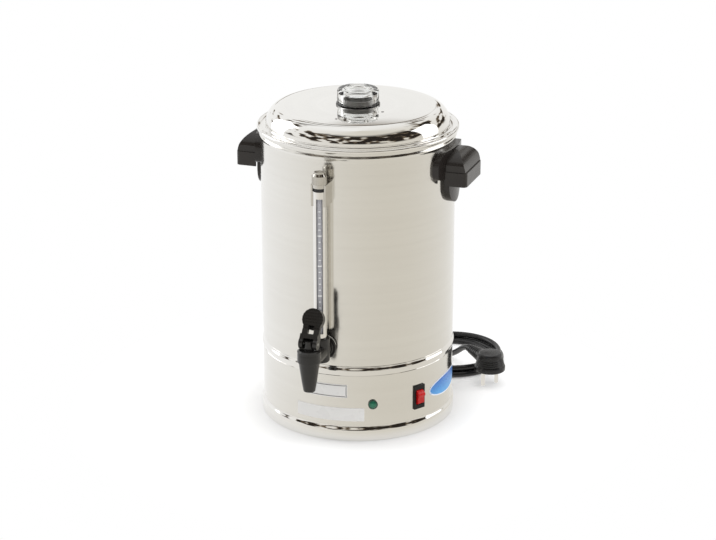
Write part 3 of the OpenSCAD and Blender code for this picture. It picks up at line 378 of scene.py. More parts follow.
@dataclass(frozen=True)
class Lens:
    """A tinted pilot lens, paler at its middle, about a point on the skirt."""

    name: str
    tone: Colour
    rim: Colour
    middle: tuple[float, float, float]
    reach: float
    ring_count: float = 5200.0

    def material(self) -> bpy.types.Material:
        """Returns the finish as a new material."""
        bench, shader, where = blank(self.name)
        away = bench.vector("DISTANCE", where, tuple(v * MM for v in self.middle))
        rings = bench.maths("SINE", bench.maths("MULTIPLY", away, self.ring_count))
        fade = bench.ramp(away, 0.2 * self.reach * MM, self.reach * MM)
        bench.fill(shader, {
            "Base Color": bench.blend(fade, self.tone, self.rim),
            "Roughness": bench.ramp(rings, -1.0, 1.0, 0.12, 0.24),
            "Normal": bench.add("ShaderNodeBump", {"Height": rings, "Distance": 0.04 * MM}).outputs[0],
            "Transmission Weight": 0.25,
            "Coat Weight": 0.4,
        })
        return bench.owner


@dataclass(frozen=True)
class Film:
    """A thin printed film that lets some of the steel show."""

    name: str
    tone: Colour
    deep: Colour
    cover: float = 1.0
    fade: tuple[float, float] = (0.0, 1.0)

    def material(self) -> bpy.types.Material:
        """Returns the finish as a new material."""
        bench, shader, where = blank(self.name)
        smudge = bench.effect(Effect.SMUDGES, Vector=where, Size=45.0)["Smudge"]
        fade = bench.ramp(bench.height(where), self.fade[0] * MM, self.fade[1] * MM)
        fade = bench.weighed((fade, 0.9), (smudge, 0.1))
        bench.fill(shader, {
            "Base Color": bench.blend(fade, self.tone, self.deep),
            "Roughness": bench.ramp(smudge, 0.0, 1.0, 0.25, 0.35),
            "Alpha": self.cover,
        })
        return bench.owner


BLACKS = {
    "handle_black": ((0.020, 0.0165, 0.0145), (0.014, 0.0115, 0.0105), (0.13, 0.2), 0.012, 0.45),
    "tap_black": ((0.015, 0.014, 0.013), (0.011, 0.0105, 0.010), (0.08, 0.15), 0.008, 0.5),
    "switch_black": ((0.010, 0.0095, 0.0095), (0.007, 0.0065, 0.0065), (0.28, 0.36), 0.03, 0.3),
    "cord_black": ((0.014, 0.014, 0.015), (0.009, 0.009, 0.010), (0.17, 0.26), 0.012, 0.45),
    "black_rubber": ((0.03, 0.03, 0.03), (0.02, 0.02, 0.02), (0.6, 0.72), 0.06, 0.5),
}
FINISHES: tuple[Any, ...] = (
    *(Moulded(name, *values) for name, values in BLACKS.items()),
    Steel("tank_steel", (0.815, 0.805, 0.775), (0.785, 0.772, 0.74), (0.10, 0.15), line_strength=0.14),
    Steel(
        "bright_steel", (0.87, 0.86, 0.84), (0.82, 0.81, 0.79), (0.025, 0.06), line_height=0.002,
        line_strength=0.1, scratch=0.06, smudge=0.03
    ),
    Steel("inner_steel", (0.66, 0.645, 0.62), (0.56, 0.545, 0.52), (0.26, 0.38)),
    Steel("zinc_steel", (0.62, 0.62, 0.61), (0.52, 0.53, 0.53), (0.28, 0.4)),
    Steel("heater_cast", (0.5, 0.5, 0.5), (0.36, 0.36, 0.37), (0.5, 0.65), line_height=0.08),
    Steel("brass_terminal", (0.82, 0.62, 0.28), (0.66, 0.48, 0.2), (0.25, 0.4)),
    Moulded("element_dark", (0.10, 0.095, 0.09), (0.055, 0.05, 0.05), (0.5, 0.65)),
    Moulded("switch_red", (0.56, 0.007, 0.008), (0.42, 0.004, 0.005), (0.14, 0.2), shine=0.45),
    Lens("lamp_green", (0.012, 0.26, 0.14), (0.002, 0.045, 0.028), (52.5, -99.5, 44.5), 5.4),
    Clear("clear_knob", index=1.33),
    Clear("gauge_glass", (0.60, 0.60, 0.635), gloss=(0.05, 0.12), clear=0.35),
    Moulded("white_rubber", (0.72, 0.71, 0.68), (0.64, 0.63, 0.6), (0.5, 0.6)),
    Moulded("white_plastic", (0.78, 0.77, 0.73), (0.7, 0.69, 0.65), (0.35, 0.45)),
    Moulded("mica_tan", (0.45, 0.33, 0.2), (0.34, 0.24, 0.14), (0.4, 0.6)),
    Moulded("wire_red", (0.5, 0.03, 0.02), (0.36, 0.02, 0.015), (0.35, 0.5)),
    Film("label_clear", (0.90, 0.89, 0.87), (0.86, 0.85, 0.83), cover=0.8, fade=(20.0, 70.0)),
    Film("label_blue", (0.10, 0.40, 0.80), (0.025, 0.13, 0.50), fade=(36.0, 55.0)),
    # Trims: further finishes of a piece, beside the one of its slot.
    Film("ink", (0.17, 0.165, 0.16), (0.14, 0.135, 0.13), cover=0.9),
    Film("pale_rim", (0.80, 0.83, 0.88), (0.74, 0.77, 0.84), fade=(36.0, 57.0)),
    Moulded("white_enamel", (0.86, 0.86, 0.84), (0.8, 0.8, 0.78)),
    # Painted shade: a darker copy of bright steel for the gauge's bracket and cap, which are the same chrome
    # as the guard.
    Steel(
        "chrome_painted_shade", (0.66, 0.64, 0.60), (0.56, 0.54, 0.50), (0.05, 0.12), line_strength=0.1, scratch=0.05
    ),
    # Painted sheen: a mid-grey copy of the black, for the black collar as it shows through the clear knob.
    Moulded("collar_painted_sheen", (0.46, 0.45, 0.44), (0.22, 0.215, 0.21), (0.2, 0.3)),
    # Painted shade: near-black for the discs that stand for the vent holes.
    Moulded("painted_vent_shade", (0.02, 0.02, 0.02), (0.01, 0.01, 0.01), (0.7, 0.8)),
)


class Finishes:
    """The finishes, each made once."""

    def __init__(self) -> None:
        """Builds the shared effects and every finish."""
        make_effects()
        self.made = {finish.name: finish.material() for finish in FINISHES}

    def dress(self, piece: bpy.types.Object, slot: str, *trims: str, shown: str = "") -> None:
        """Gives a new piece its finishes.

        Args:
            piece: The piece.
            slot: The record's material slot.
            *trims: Finishes of the material indices after the first.
            shown: The first index's finish, where it isn't the slot's.
        """
        for name in (shown or slot, *trims):
            piece.data.materials.append(self.made[name])

    def dress_packed_nodes(self) -> None:
        """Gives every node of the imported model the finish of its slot."""
        slots = {part["node"]: part["material_slot"] for part in frame["record"]["subparts"]}
        for name, node in frame["nodes"].items():
            finish = self.made[slots[name]]
            if not node.material_slots:
                node.data.materials.append(finish)
            for slot in node.material_slots:
                slot.material = finish
            LOG.info("%s: %s", name, slots[name])


# ---- shaping ----


def arc(x: float, z: float, radius: float, start: float, end: float, steps: int = 8) -> Profile:
    """Points on an arc.

    Args:
        x: Centre, across.
        z: Centre, up.
        radius: The arc's radius.
        start: First angle in degrees.
        end: Last angle in degrees.
        steps: Number of steps.

    Returns:
        The points.
    """
    turns = [math.radians(start + (end - start) * i / steps) for i in range(steps + 1)]
    return [(x + radius * math.cos(t), z + radius * math.sin(t)) for t in turns]


def swell(radius: float, low: float, high: float, out: float, steps: int = 14) -> Profile:
    """A rolled bead in a wall, from its lower to its upper end.

    Args:
        radius: Radius of the wall.
        low: Height where the bead starts.
        high: Height where it ends.
        out: How far it stands out.
        steps: Number of steps.

    Returns:
        The points.
    """
    return [
        (radius + out * 0.5 * (1 - math.cos(2 * math.pi * i / steps)), low + (high - low) * i / steps)
        for i in range(steps + 1)
    ]


def smooth_step(value: float, start: float, end: float) -> float:
    """Returns 0 before start, 1 after end, and a smooth rise between."""
    t = min(1.0, max(0.0, (value - start) / (end - start)))
    return t * t * (3 - 2 * t)


def ease(first: tuple[float, float], last: tuple[float, float], steps: int = 16) -> Profile:
    """A smooth S from one point of a wall to another.

    Args:
        first: Radius and height at the start.
        last: Radius and height at the end.
        steps: Number of steps.

    Returns:
        The points.
    """
    across, up = last[0] - first[0], last[1] - first[1]
    shares = [i / steps for i in range(steps + 1)]
    return [(first[0] + across * smooth_step(t, 0, 1), first[1] + up * t) for t in shares]


def rings(start: float, pitch: float, count: int, edge: float, taper: float, ring: Profile) -> Profile:
    """Equal rings along a profile, each smaller than the one before.

    Args:
        start: Height of the first ring.
        pitch: Height from one ring to the next.
        count: Number of rings.
        edge: Radius of the first ring.
        taper: How much each radius loses.
        ring: The points of one ring, from its edge and its start.

    Returns:
        The points.
    """
    return [(edge - taper * i + out, start + pitch * i + up) for i in range(count) for out, up in ring]


def add_object(name: str, data: Any) -> bpy.types.Object:
    """Puts a new object in the scene.

    Args:
        name: The object's name.
        data: Its mesh, curve, camera or light.

    Returns:
        The object.
    """
    made = bpy.data.objects.new(name, data)
    bpy.context.scene.collection.objects.link(made)
    return made


class Shape:
    """A mesh in millimetres that grows by bmesh operators and ends as one piece in metres."""

    def __init__(self, name: str) -> None:
        """Starts an empty mesh.

        Args:
            name: The finished piece's name.
        """
        self.name = name
        self.bm = bmesh.new()

    def spin(
        self, profile: Profile, axis: tuple[float, float] = (0.0, 0.0), steps: int = 96, loop: bool = True,
        start: float = 0.0, sweep: float = 360.0, place: Optional[Matrix] = None, index: int = 0
    ) -> None:
        """Spins a profile of radius and height about a vertical axis.

        Args:
            profile: The points, in order.
            axis: Where the axis stands.
            steps: Number of steps round.
            loop: Whether the last point joins the first.
            start: First angle in degrees, from +X.
            sweep: Degrees turned; under 360 the ends are closed.
            place: A transform for the finished shape.
            index: Material index.
        """
        old = set(self.bm.faces)
        turn = math.radians(start)
        (x, y), out = axis, (math.cos(turn), math.sin(turn))
        verts = [self.bm.verts.new((x + r * out[0], y + r * out[1], z)) for r, z in profile]
        pairs = list(zip(verts, verts[1:])) + ([(verts[-1], verts[0])] if loop else [])
        edges = [self.bm.edges.new(pair) for pair in pairs]
        whole = sweep >= 360.0
        cap = self.bm.faces.new(verts) if not whole else None
        bmesh.ops.spin(
            self.bm, geom=[*verts, *edges, *([cap] if cap else [])], cent=(x, y, 0.0), axis=(0.0, 0.0, 1.0),
            angle=math.radians(sweep), steps=steps, use_merge=whole, use_duplicate=False
        )
        new = [face for face in self.bm.faces if face not in old]
        touched = list({vert for face in new for vert in face.verts})
        bmesh.ops.remove_doubles(self.bm, verts=touched, dist=1e-4)
        new = [face for face in self.bm.faces if face not in old]
        bmesh.ops.recalc_face_normals(self.bm, faces=new)
        if place is not None:
            touched = list({vert for face in new for vert in face.verts})
            bmesh.ops.transform(self.bm, matrix=place, verts=touched)
        for face in new:
            face.material_index = index

    def block(self, size: Sequence[float], place: Matrix, soft: float = 0.0, index: int = 0) -> None:
        """Adds a block, its edges rounded if asked.

        Args:
            size: Its three sizes.
            place: Where its centre stands and how it is turned.
            soft: Radius of its edges.
            index: Material index.
        """
        made = bmesh.ops.create_cube(self.bm, size=1.0)
        verts = made["verts"]
        bmesh.ops.scale(self.bm, vec=size, verts=verts)
        faces = list({face for vert in verts for face in vert.link_faces})
        if soft:
            edges = list({edge for vert in verts for edge in vert.link_edges})
            cut = bmesh.ops.bevel(
                self.bm, geom=edges, offset=soft, segments=3, profile=0.5, affect="EDGES", material=-1
            )
            faces = list({*cut["faces"], *(face for vert in cut["verts"] for face in vert.link_faces)})
            verts = list({vert for face in faces for vert in face.verts})
        bmesh.ops.transform(self.bm, matrix=place, verts=verts)
        for face in faces:
            face.material_index = index

    def move(self, matrix: Matrix) -> None:
        """Moves, turns or stretches the whole shape.

        Args:
            matrix: The transform.
        """
        bmesh.ops.transform(self.bm, matrix=matrix, verts=self.bm.verts[:])

    def mesh(self) -> bpy.types.Mesh:
        """Ends the shape as a mesh in metres.

        Returns:
            The mesh.
        """
        bmesh.ops.scale(self.bm, vec=(MM, MM, MM), verts=self.bm.verts[:])
        mesh = bpy.data.meshes.new(self.name)
        self.bm.to_mesh(mesh)
        self.bm.free()
        return mesh

    def finish(self, body: str, stands_for: Sequence[str] = (), crease: float = 32.0) -> bpy.types.Object:
        """Ends the shape as a piece of the urn.

        Args:
            body: The body that it rides on.
            stands_for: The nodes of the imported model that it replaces.
            crease: Edges sharper than this many degrees stay sharp.

        Returns:
            The piece.
        """
        return set_up(self.name, self.mesh(), body, stands_for, crease)


def set_up(
    name: str, mesh: bpy.types.Mesh, body: str, stands_for: Sequence[str], crease: float
) -> bpy.types.Object:
    """Puts a mesh in the scene as a piece that rides on a body.

    Args:
        name: The piece's name.
        mesh: Its mesh, in metres and in place.
        body: The body that it rides on.
        stands_for: The nodes that it replaces.
        crease: Edges sharper than this many degrees stay sharp.

    Returns:
        The piece.
    """
    mesh.polygons.foreach_set("use_smooth", [True] * len(mesh.polygons))
    mesh.set_sharp_from_angle(angle=math.radians(crease))
    piece = add_object(name, mesh)
    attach(piece, body)
    if stands_for:
        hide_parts(*stands_for)
    LOG.info("%s: %d faces, on %s", name, len(mesh.polygons), body)
    return piece


def softened(node: str, name: str, body: str, width: float, segments: int = 3) -> bpy.types.Object:
    """A copy of a node's shape whose edges are rounded, in its place.

    Args:
        node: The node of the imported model.
        name: The new piece's name.
        body: The body that it rides on.
        width: How wide the rounding is, in millimetres.
        segments: Steps across the rounding.

    Returns:
        The piece, which replaces the node.
    """
    bm = bmesh.new()
    bm.from_mesh(frame["nodes"][node].data)
    bmesh.ops.remove_doubles(bm, verts=bm.verts[:], dist=2e-6)
    bmesh.ops.dissolve_limit(
        bm, angle_limit=math.radians(FLAT_UNDER), verts=bm.verts[:], edges=bm.edges[:],
        use_dissolve_boundaries=False
    )
    mesh = bpy.data.meshes.new(name)
    bm.to_mesh(mesh)
    bm.free()
    piece = set_up(name, mesh, body, (node,), 180.0)
    bevel = piece.modifiers.new("rounding", "BEVEL")
    bevel.width = width * MM
    bevel.segments = segments
    bevel.limit_method = "ANGLE"
    bevel.angle_limit = math.radians(SHARP_FROM)
    bevel.miter_outer = "MITER_ARC"
    normals = piece.modifiers.new("shading", "WEIGHTED_NORMAL")
    normals.keep_sharp = True
    return piece


# ---- the urn ----


@dataclass
class Assembly:
    """A sub-assembly of the urn, with the finishes that its pieces wear."""

    finishes: Finishes


@dataclass
class SteelShells(Assembly):
    """The tank and the skirt under it."""

    outer: float = 111.0
    sheet: float = 1.0
    seam: float = 91.0
    rim: float = 343.0
    floor: float = 98.0
    well_r: float = 30.0
    well: float = 90.0
    bead: tuple[float, float, float] = (331.4, 337.6, 1.3)
    band_out: float = 2.0
    band_top: float = 18.2
    steps: int = 256

    def tank(self) -> None:
        """Builds the tank: wall, bead under the rim, lip, floor and heater well."""
        r, inner = self.outer, self.outer - self.sheet
        wall = [(r, self.seam), (r, 130.0), (r, 210.0), (r, 290.0), (r, 330.0)]
        wall += swell(r, *self.bead) + [(r, 339.4)]
        wall += arc(r + 0.9, 341.6, 1.2, -110, 60, 8) + [(r + 0.6, self.rim), (inner + 0.3, self.rim)]
        wall += [(inner, 342.6), (inner, 300.0), (inner, 200.0), (inner, self.floor + 3)]
        floor, well, well_r = self.floor, self.well, self.well_r
        wall += arc(inner - 3, floor + 3, 3, 0, -90, 5) + [(60.0, floor), (well_r + 1, floor)]
        wall += [(well_r, floor - 1), (well_r, well + 1), (well_r - 1, well), (0.0, well), (0.0, well - 1)]
        wall += [(well_r + 1, well - 1), (well_r + 1, floor - 1), (inner, floor - 1), (inner, self.seam)]
        shape = Shape("tank_shell")
        shape.spin(wall, steps=self.steps)
        self.finishes.dress(shape.finish("urn", ["tank"]), "tank_steel")

    def skirt(self) -> None:
        """Builds the skirt: polished lower band, satin wall and polished bead."""
        r, band, t = self.outer, self.outer + self.band_out, self.sheet
        shape = Shape("skirt_shell")
        foot = [(band - 0.4, 0.0), (band, 0.5), (band, 6.0), (band, 11.6)]
        foot += ease((band, 12.0), (r + 0.02, self.band_top))
        shape.spin(foot, steps=self.steps, loop=False, index=1)
        shape.spin([(r, self.band_top), (r, 40.0), (r, 60.0), (r, 79.0)], steps=self.steps, loop=False)
        bead = [(r + 0.02, 79.0), (r - 0.3, 79.4)] + swell(r - 0.1, 79.8, 90.2, 1.5, 20)
        bead += [(r - 0.35, 90.7), (r, self.seam)]
        shape.spin(bead, steps=self.steps, loop=False, index=1)
        inside = [(r, self.seam), (r - 4, self.seam), (r - 4, self.seam - t), (r - t, self.seam - t - 1)]
        inside += [(r - t, 17.5), (band - t, 13.0), (band - t, 0.0), (band - 0.4, 0.0)]
        shape.spin(inside, steps=self.steps, loop=False)
        bmesh.ops.remove_doubles(shape.bm, verts=shape.bm.verts[:], dist=1e-3)
        bmesh.ops.recalc_face_normals(shape.bm, faces=shape.bm.faces[:])
        self.finishes.dress(shape.finish("urn", ["base_skirt"], crease=24.0), "tank_steel", "bright_steel")


@dataclass
class DomedLid(Assembly):
    """The lift-off lid, its vents, its clear knob and the collar in the knob."""

    under: float = 343.0
    sheet: float = 0.9
    top: float = 366.4
    crown_rise: float = 0.6
    shoulder_r: float = 105.0
    shoulder_run: float = 18.0
    shoulder_foot: float = 345.3
    rim_r: float = 115.0
    hole_r: float = 17.9
    seat_r: float = 26.0
    collar_r: float = 109.4
    collar_low: float = 334.0
    foot_r: float = 25.0
    knob_r: float = 23.6
    knob_top: float = 385.0
    vent_places: tuple[tuple[float, float], ...] = ((66.0, -92.0), (43.0, -31.0))

    def crown(self, radius: float) -> float:
        """Returns the height of the lid's outer face at a radius."""
        share = (radius - self.seat_r) / (self.shoulder_r - self.shoulder_run - self.seat_r)
        return self.top - self.crown_rise * share**2

    def shoulder(self, sheet: float, start: float, end: float, steps: int) -> Profile:
        """Returns the shoulder's curve, a quarter of an oval.

        Args:
            sheet: How far inside the outer face it lies.
            start: First angle in degrees, 90 at the crown.
            end: Last angle in degrees, 0 at the foot.
            steps: Number of steps.
        """
        middle = self.shoulder_r - self.shoulder_run
        rise = self.top - self.crown_rise - self.shoulder_foot
        run, foot = self.shoulder_run - sheet, self.shoulder_foot
        circle = arc(0.0, 0.0, 1.0, start, end, steps)
        return [(middle + run * x, foot + (rise - sheet) * z) for x, z in circle]

    def plate(self) -> None:
        """Builds the polished lid with its rolled rim and locating collar."""
        edge, t, u = self.shoulder_r - self.shoulder_run, self.sheet, self.under
        radii = [self.seat_r + (edge - self.seat_r) * i / 20 for i in range(20)]
        outside = [(self.hole_r, self.top), (self.seat_r - 3, self.top)] + [(r, self.crown(r)) for r in radii]
        outside += self.shoulder(0.0, 90, 0, 28)
        foot, rim, collar, low = self.shoulder_r, self.rim_r, self.collar_r, self.collar_low
        outside += [(foot + 0.3, u + 1.6), (foot + 0.9, u + 1.15), (foot + 2.2, u + t), (rim - 3.4, u + t)]
        outside += arc(rim - 1.6, u + 0.3, 1.6, 110, -20, 12)
        outside += [(rim - 0.1, u - 1.2), (rim - 0.4, u - 1.3), (rim - t, u - 1.2), (rim - t, u)]
        inside = [(collar, u), (collar, low + 0.4), (collar - 0.4, low), (collar - t, low)]
        inside += [(collar - t, u - 0.2), (foot + 1.4, u - 0.2)]
        inside += self.shoulder(t, 0, 84, 22)
        inside += [(r, self.crown(r) - t) for r in reversed(radii)] + [(self.hole_r, self.top - t)]
        shape = Shape("lid_shell")
        shape.spin(outside + inside, steps=256)
        self.finishes.dress(shape.finish("lid", ["lid"], crease=40.0), "bright_steel")

    def vents(self) -> None:
        """Builds the two small steam vents in the lid's top."""
        shape = Shape("lid_vents")
        for reach, degrees in self.vent_places:
            x, y = reach * math.cos(math.radians(degrees)), reach * math.sin(math.radians(degrees))
            z = self.crown(reach)
            # Each vent is a near-black disc on the unbroken lid, painted shade for the hole, inside a steel
            # ring.
            hole = [(0.0, z + 0.12), (1.5, z + 0.12), (1.5, z - 0.6), (0.0, z - 0.6)]
            shape.spin(hole, (x, y), 24, index=1)
            ring = [(1.5, z - 0.2), (1.5, z + 0.16), (1.7, z + 0.26), (2.0, z + 0.16), (2.1, z - 0.2)]
            shape.spin(ring, (x, y), 24)
        self.finishes.dress(shape.finish("lid"), "bright_steel", "painted_vent_shade")

    def knob(self) -> None:
        """Builds the clear knob with its stepped foot and ringed top."""
        low, high, r, hole = self.top, self.knob_top, self.knob_r, self.hole_r
        outside = [(hole + 0.1, low)] + arc(self.foot_r - 0.7, low + 0.7, 0.7, -90, 0, 4)
        outside += arc(self.foot_r - 0.8, low + 1.4, 0.8, 0, 80, 5) + [(24.1, low + 3.0), (r, low + 5.0)]
        outside += [(r, low + 9.0), (r, high - 6.0)] + arc(r - 3.0, high - 3.0, 3.0, 0, 90, 10)
        outside += arc(15.5, high - 0.1, 0.7, 10, -190, 6)
        outside += [(14.0, high), (9.8, high)] + arc(8.2, high - 0.1, 1.5, 0, -80, 6) + [(0.0, high - 1.6)]
        inside = [(0.0, high - 5.0), (hole - 2.2, high - 5.0), (hole - 0.1, high - 6.4), (hole - 0.1, low)]
        shape = Shape("knob_clear")
        shape.spin(outside + inside, steps=128)
        self.finishes.dress(shape.finish("lid", ["lid_knob"], crease=30.0), "clear_knob")

    def collar(self) -> None:
        """Builds the dark threaded collar that shows through the knob."""
        low, r, wall = self.top - self.sheet - 1.2, 17.5, 16.4
        profile = [(wall, low), (r + 3.6, low), (r + 3.6, low + 1.1), (r, low + 1.2), (r, self.top + 0.6)]
        profile += rings(self.top + 0.9, 2.0, 3, r, 0.0, [(-0.6, 0.0), (-0.6, 0.5), (0.0, 1.0), (0.0, 1.5)])
        profile += [(r - 0.3, self.top + 7.0), (wall, self.top + 7.0)]
        shape = Shape("knob_thread")
        shape.spin(profile, steps=96)
        piece = shape.finish("lid", ["knob_collar"], crease=30.0)
        # The black collar wears the mid-grey copy, painted sheen of the clear knob in front of it.
        self.finishes.dress(piece, "handle_black", shown="collar_painted_sheen")


@dataclass
class SideHandle(Assembly):
    """A grip and the heat shield between it and the tank."""

    side: str

    def build(self) -> None:
        """Rounds the moulded shield and grip."""
        for part, width, segments in (("shield", 1.1, 3), ("grip", 2.4, 4)):
            node, name = f"{self.side}_handle_{part}", f"{self.side}_{part}_moulding"
            self.finishes.dress(softened(node, name, "urn", width, segments), "handle_black")


@dataclass
class SelfClosingTap(Assembly):
    """The tap's moulded body, its bonnet and its lever."""

    reach: float = 163.0
    gauge: float = 127.0
    face: float = 111.0
    axis_z: float = 114.0
    mouth: float = 80.0
    rim: float = 115.0
    top: float = 124.5
    ribs: int = 32
    rib_r: float = 12.65

    def shell(self) -> None:
        """Builds the spout, the shank with its flange, and the gauge's socket."""
        shape = Shape("tap_moulding")
        spout = [(5.0, self.mouth + 0.5)] + arc(6.1, self.mouth + 0.6, 0.6, -120, -10, 5)
        spout += [(7.0, self.mouth + 1.5), (8.7, 92.0), (10.4, 104.0), (11.6, 112.6)]
        spout += arc(12.4, self.rim + 0.4, 0.8, 250, 350, 5) + [(13.15, self.rim + 1.4)]
        spout += [(13.2, self.top - 1.0)] + arc(12.6, self.top - 0.6, 0.6, 0, 90, 4)
        spout += [(8.55, self.top), (8.5, 104.0), (5.0, 104.0)]
        shape.spin(spout, (0.0, -self.reach), 96)
        out = Matrix.Translation((0.0, 0.0, self.axis_z)) @ UPRIGHT
        start = self.face + 2.0
        shank = [(0.0, start - 22.0), (9.0, start - 22.0), (9.0, start), (13.4, start)]
        shank += arc(13.3, start + 0.7, 0.7, -60, 0, 3) + arc(13.2, start + 2.0, 0.8, 0, 90, 4)
        shank += [(11.2, start + 2.8)] + arc(11.2, start + 4.0, 1.2, 270, 180, 5)
        shank += [(10.0, self.reach - 8.0), (0.0, self.reach - 8.0)]
        shape.spin(shank, steps=72, place=out)
        socket = [(5.1, 104.0), (5.1, 102.6)] + arc(8.6, 104.0, 2.0, -90, 0, 5)
        socket += [(10.6, 106.0), (10.6, 128.4)] + arc(9.4, 129.3, 1.2, 0, 90, 5)
        socket += [(6.3, 130.5), (6.3, 127.5), (5.1, 127.5)]
        shape.spin(socket, (0.0, -self.gauge), 72)
        web = Matrix.Translation((0.0, -(self.gauge + self.reach) / 2 + 2, self.axis_z + 4.5))
        shape.block((5.0, self.reach - self.gauge - 16.0, 15.0), web, soft=1.4)
        self.finishes.dress(shape.finish("urn", ["tap_body"], crease=34.0), "tap_black")

    def top_works(self) -> None:
        """Builds the collar's ribs and rounds the bonnet and the lever."""
        ribs = Shape("collar_ribs")
        middle = Matrix.Translation((0.0, -self.reach, (self.rim + self.top) / 2 + 1.2))
        for i in range(self.ribs):
            turn = Matrix.Rotation(2 * math.pi * i / self.ribs, 4, "Z")
            place = middle @ turn @ Matrix.Translation((self.rib_r, 0.0, 0.0))
            ribs.block((1.1, 1.2, self.top - self.rim - 0.6), place, soft=0.35)
        self.finishes.dress(ribs.finish("urn"), "tap_black")
        self.finishes.dress(softened("tap_bonnet", "bonnet_moulding", "urn", 0.45), "tap_black")
        self.finishes.dress(softened("tap_lever", "lever_moulding", "lever", 0.3), "tap_black")


@dataclass
class SightGauge(Assembly):
    """The glass with its graduations, the slotted guard, its bracket and its cap."""

    reach: float = 127.0
    glass_r: float = 5.0
    wall: float = 1.2
    low: float = 120.5
    high: float = 310.5
    first_mark: float = 146.0
    mark_step: float = 7.0
    marks: int = 20
    marks_to_long: int = 5
    long_mark: tuple[float, float] = (26.0, 0.75)
    short_mark: tuple[float, float] = (14.0, 0.5)
    slot_turn: float = 18.0

    def glass(self) -> None:
        """Builds the glass tube with fire-polished ends."""
        r, half = self.glass_r, self.wall / 2
        profile = arc(r - half, self.low + half, half, 180, 360, 6)
        profile += arc(r - half, self.high - half, half, 0, 180, 6)
        shape = Shape("gauge_tube")
        shape.spin(profile, (0.0, -self.reach), 64)
        self.finishes.dress(shape.finish("urn", ["gauge_glass"], crease=60.0), "gauge_glass")

    def graduations(self) -> None:
        """Builds the plain marks on the front of the glass, every fifth one longer."""
        shape = Shape("gauge_marks")
        r = self.glass_r + 0.02
        for i in range(self.marks):
            z = self.first_mark + i * self.mark_step
            half, tall = self.short_mark if i % self.marks_to_long else self.long_mark
            mark = [(r, z - tall), (r + 0.1, z - tall), (r + 0.1, z + tall), (r, z + tall)]
            shape.spin(mark, (0.0, -self.reach), 8, start=270 + self.slot_turn - half, sweep=2 * half)
        self.finishes.dress(shape.finish("urn"), "white_plastic", shown="white_enamel")

    def guard(self) -> None:
        """Rounds the guard, its bracket and its cap."""
        # The bracket and the cap wear the darker copy of bright steel, painted shade, in place of their
        # slot's finish.
        for node, name, width, shown in (
            ("gauge_guard", "guard_tube", 0.25, "bright_steel"),
            ("gauge_bracket", "bracket_block", 0.5, "chrome_painted_shade"),
            ("gauge_cap", "cap_turned", 0.08, "chrome_painted_shade"),
        ):
            self.finishes.dress(softened(node, name, "urn", width), "bright_steel", shown=shown)


@dataclass
class Controls(Assembly):
    """The rocker switch and the pilot lamp."""

    def build(self) -> None:
        """Rounds the switch's frame and rocker and the lamp's lens."""
        self.finishes.dress(softened("switch_housing", "switch_frame", "urn", 0.5), "switch_black")
        self.finishes.dress(softened("switch_rocker", "rocker_moulding", "rocker", 0.45), "switch_red")
        self.finishes.dress(softened("pilot_lens", "pilot_dome", "urn", 0.3), "lamp_green")


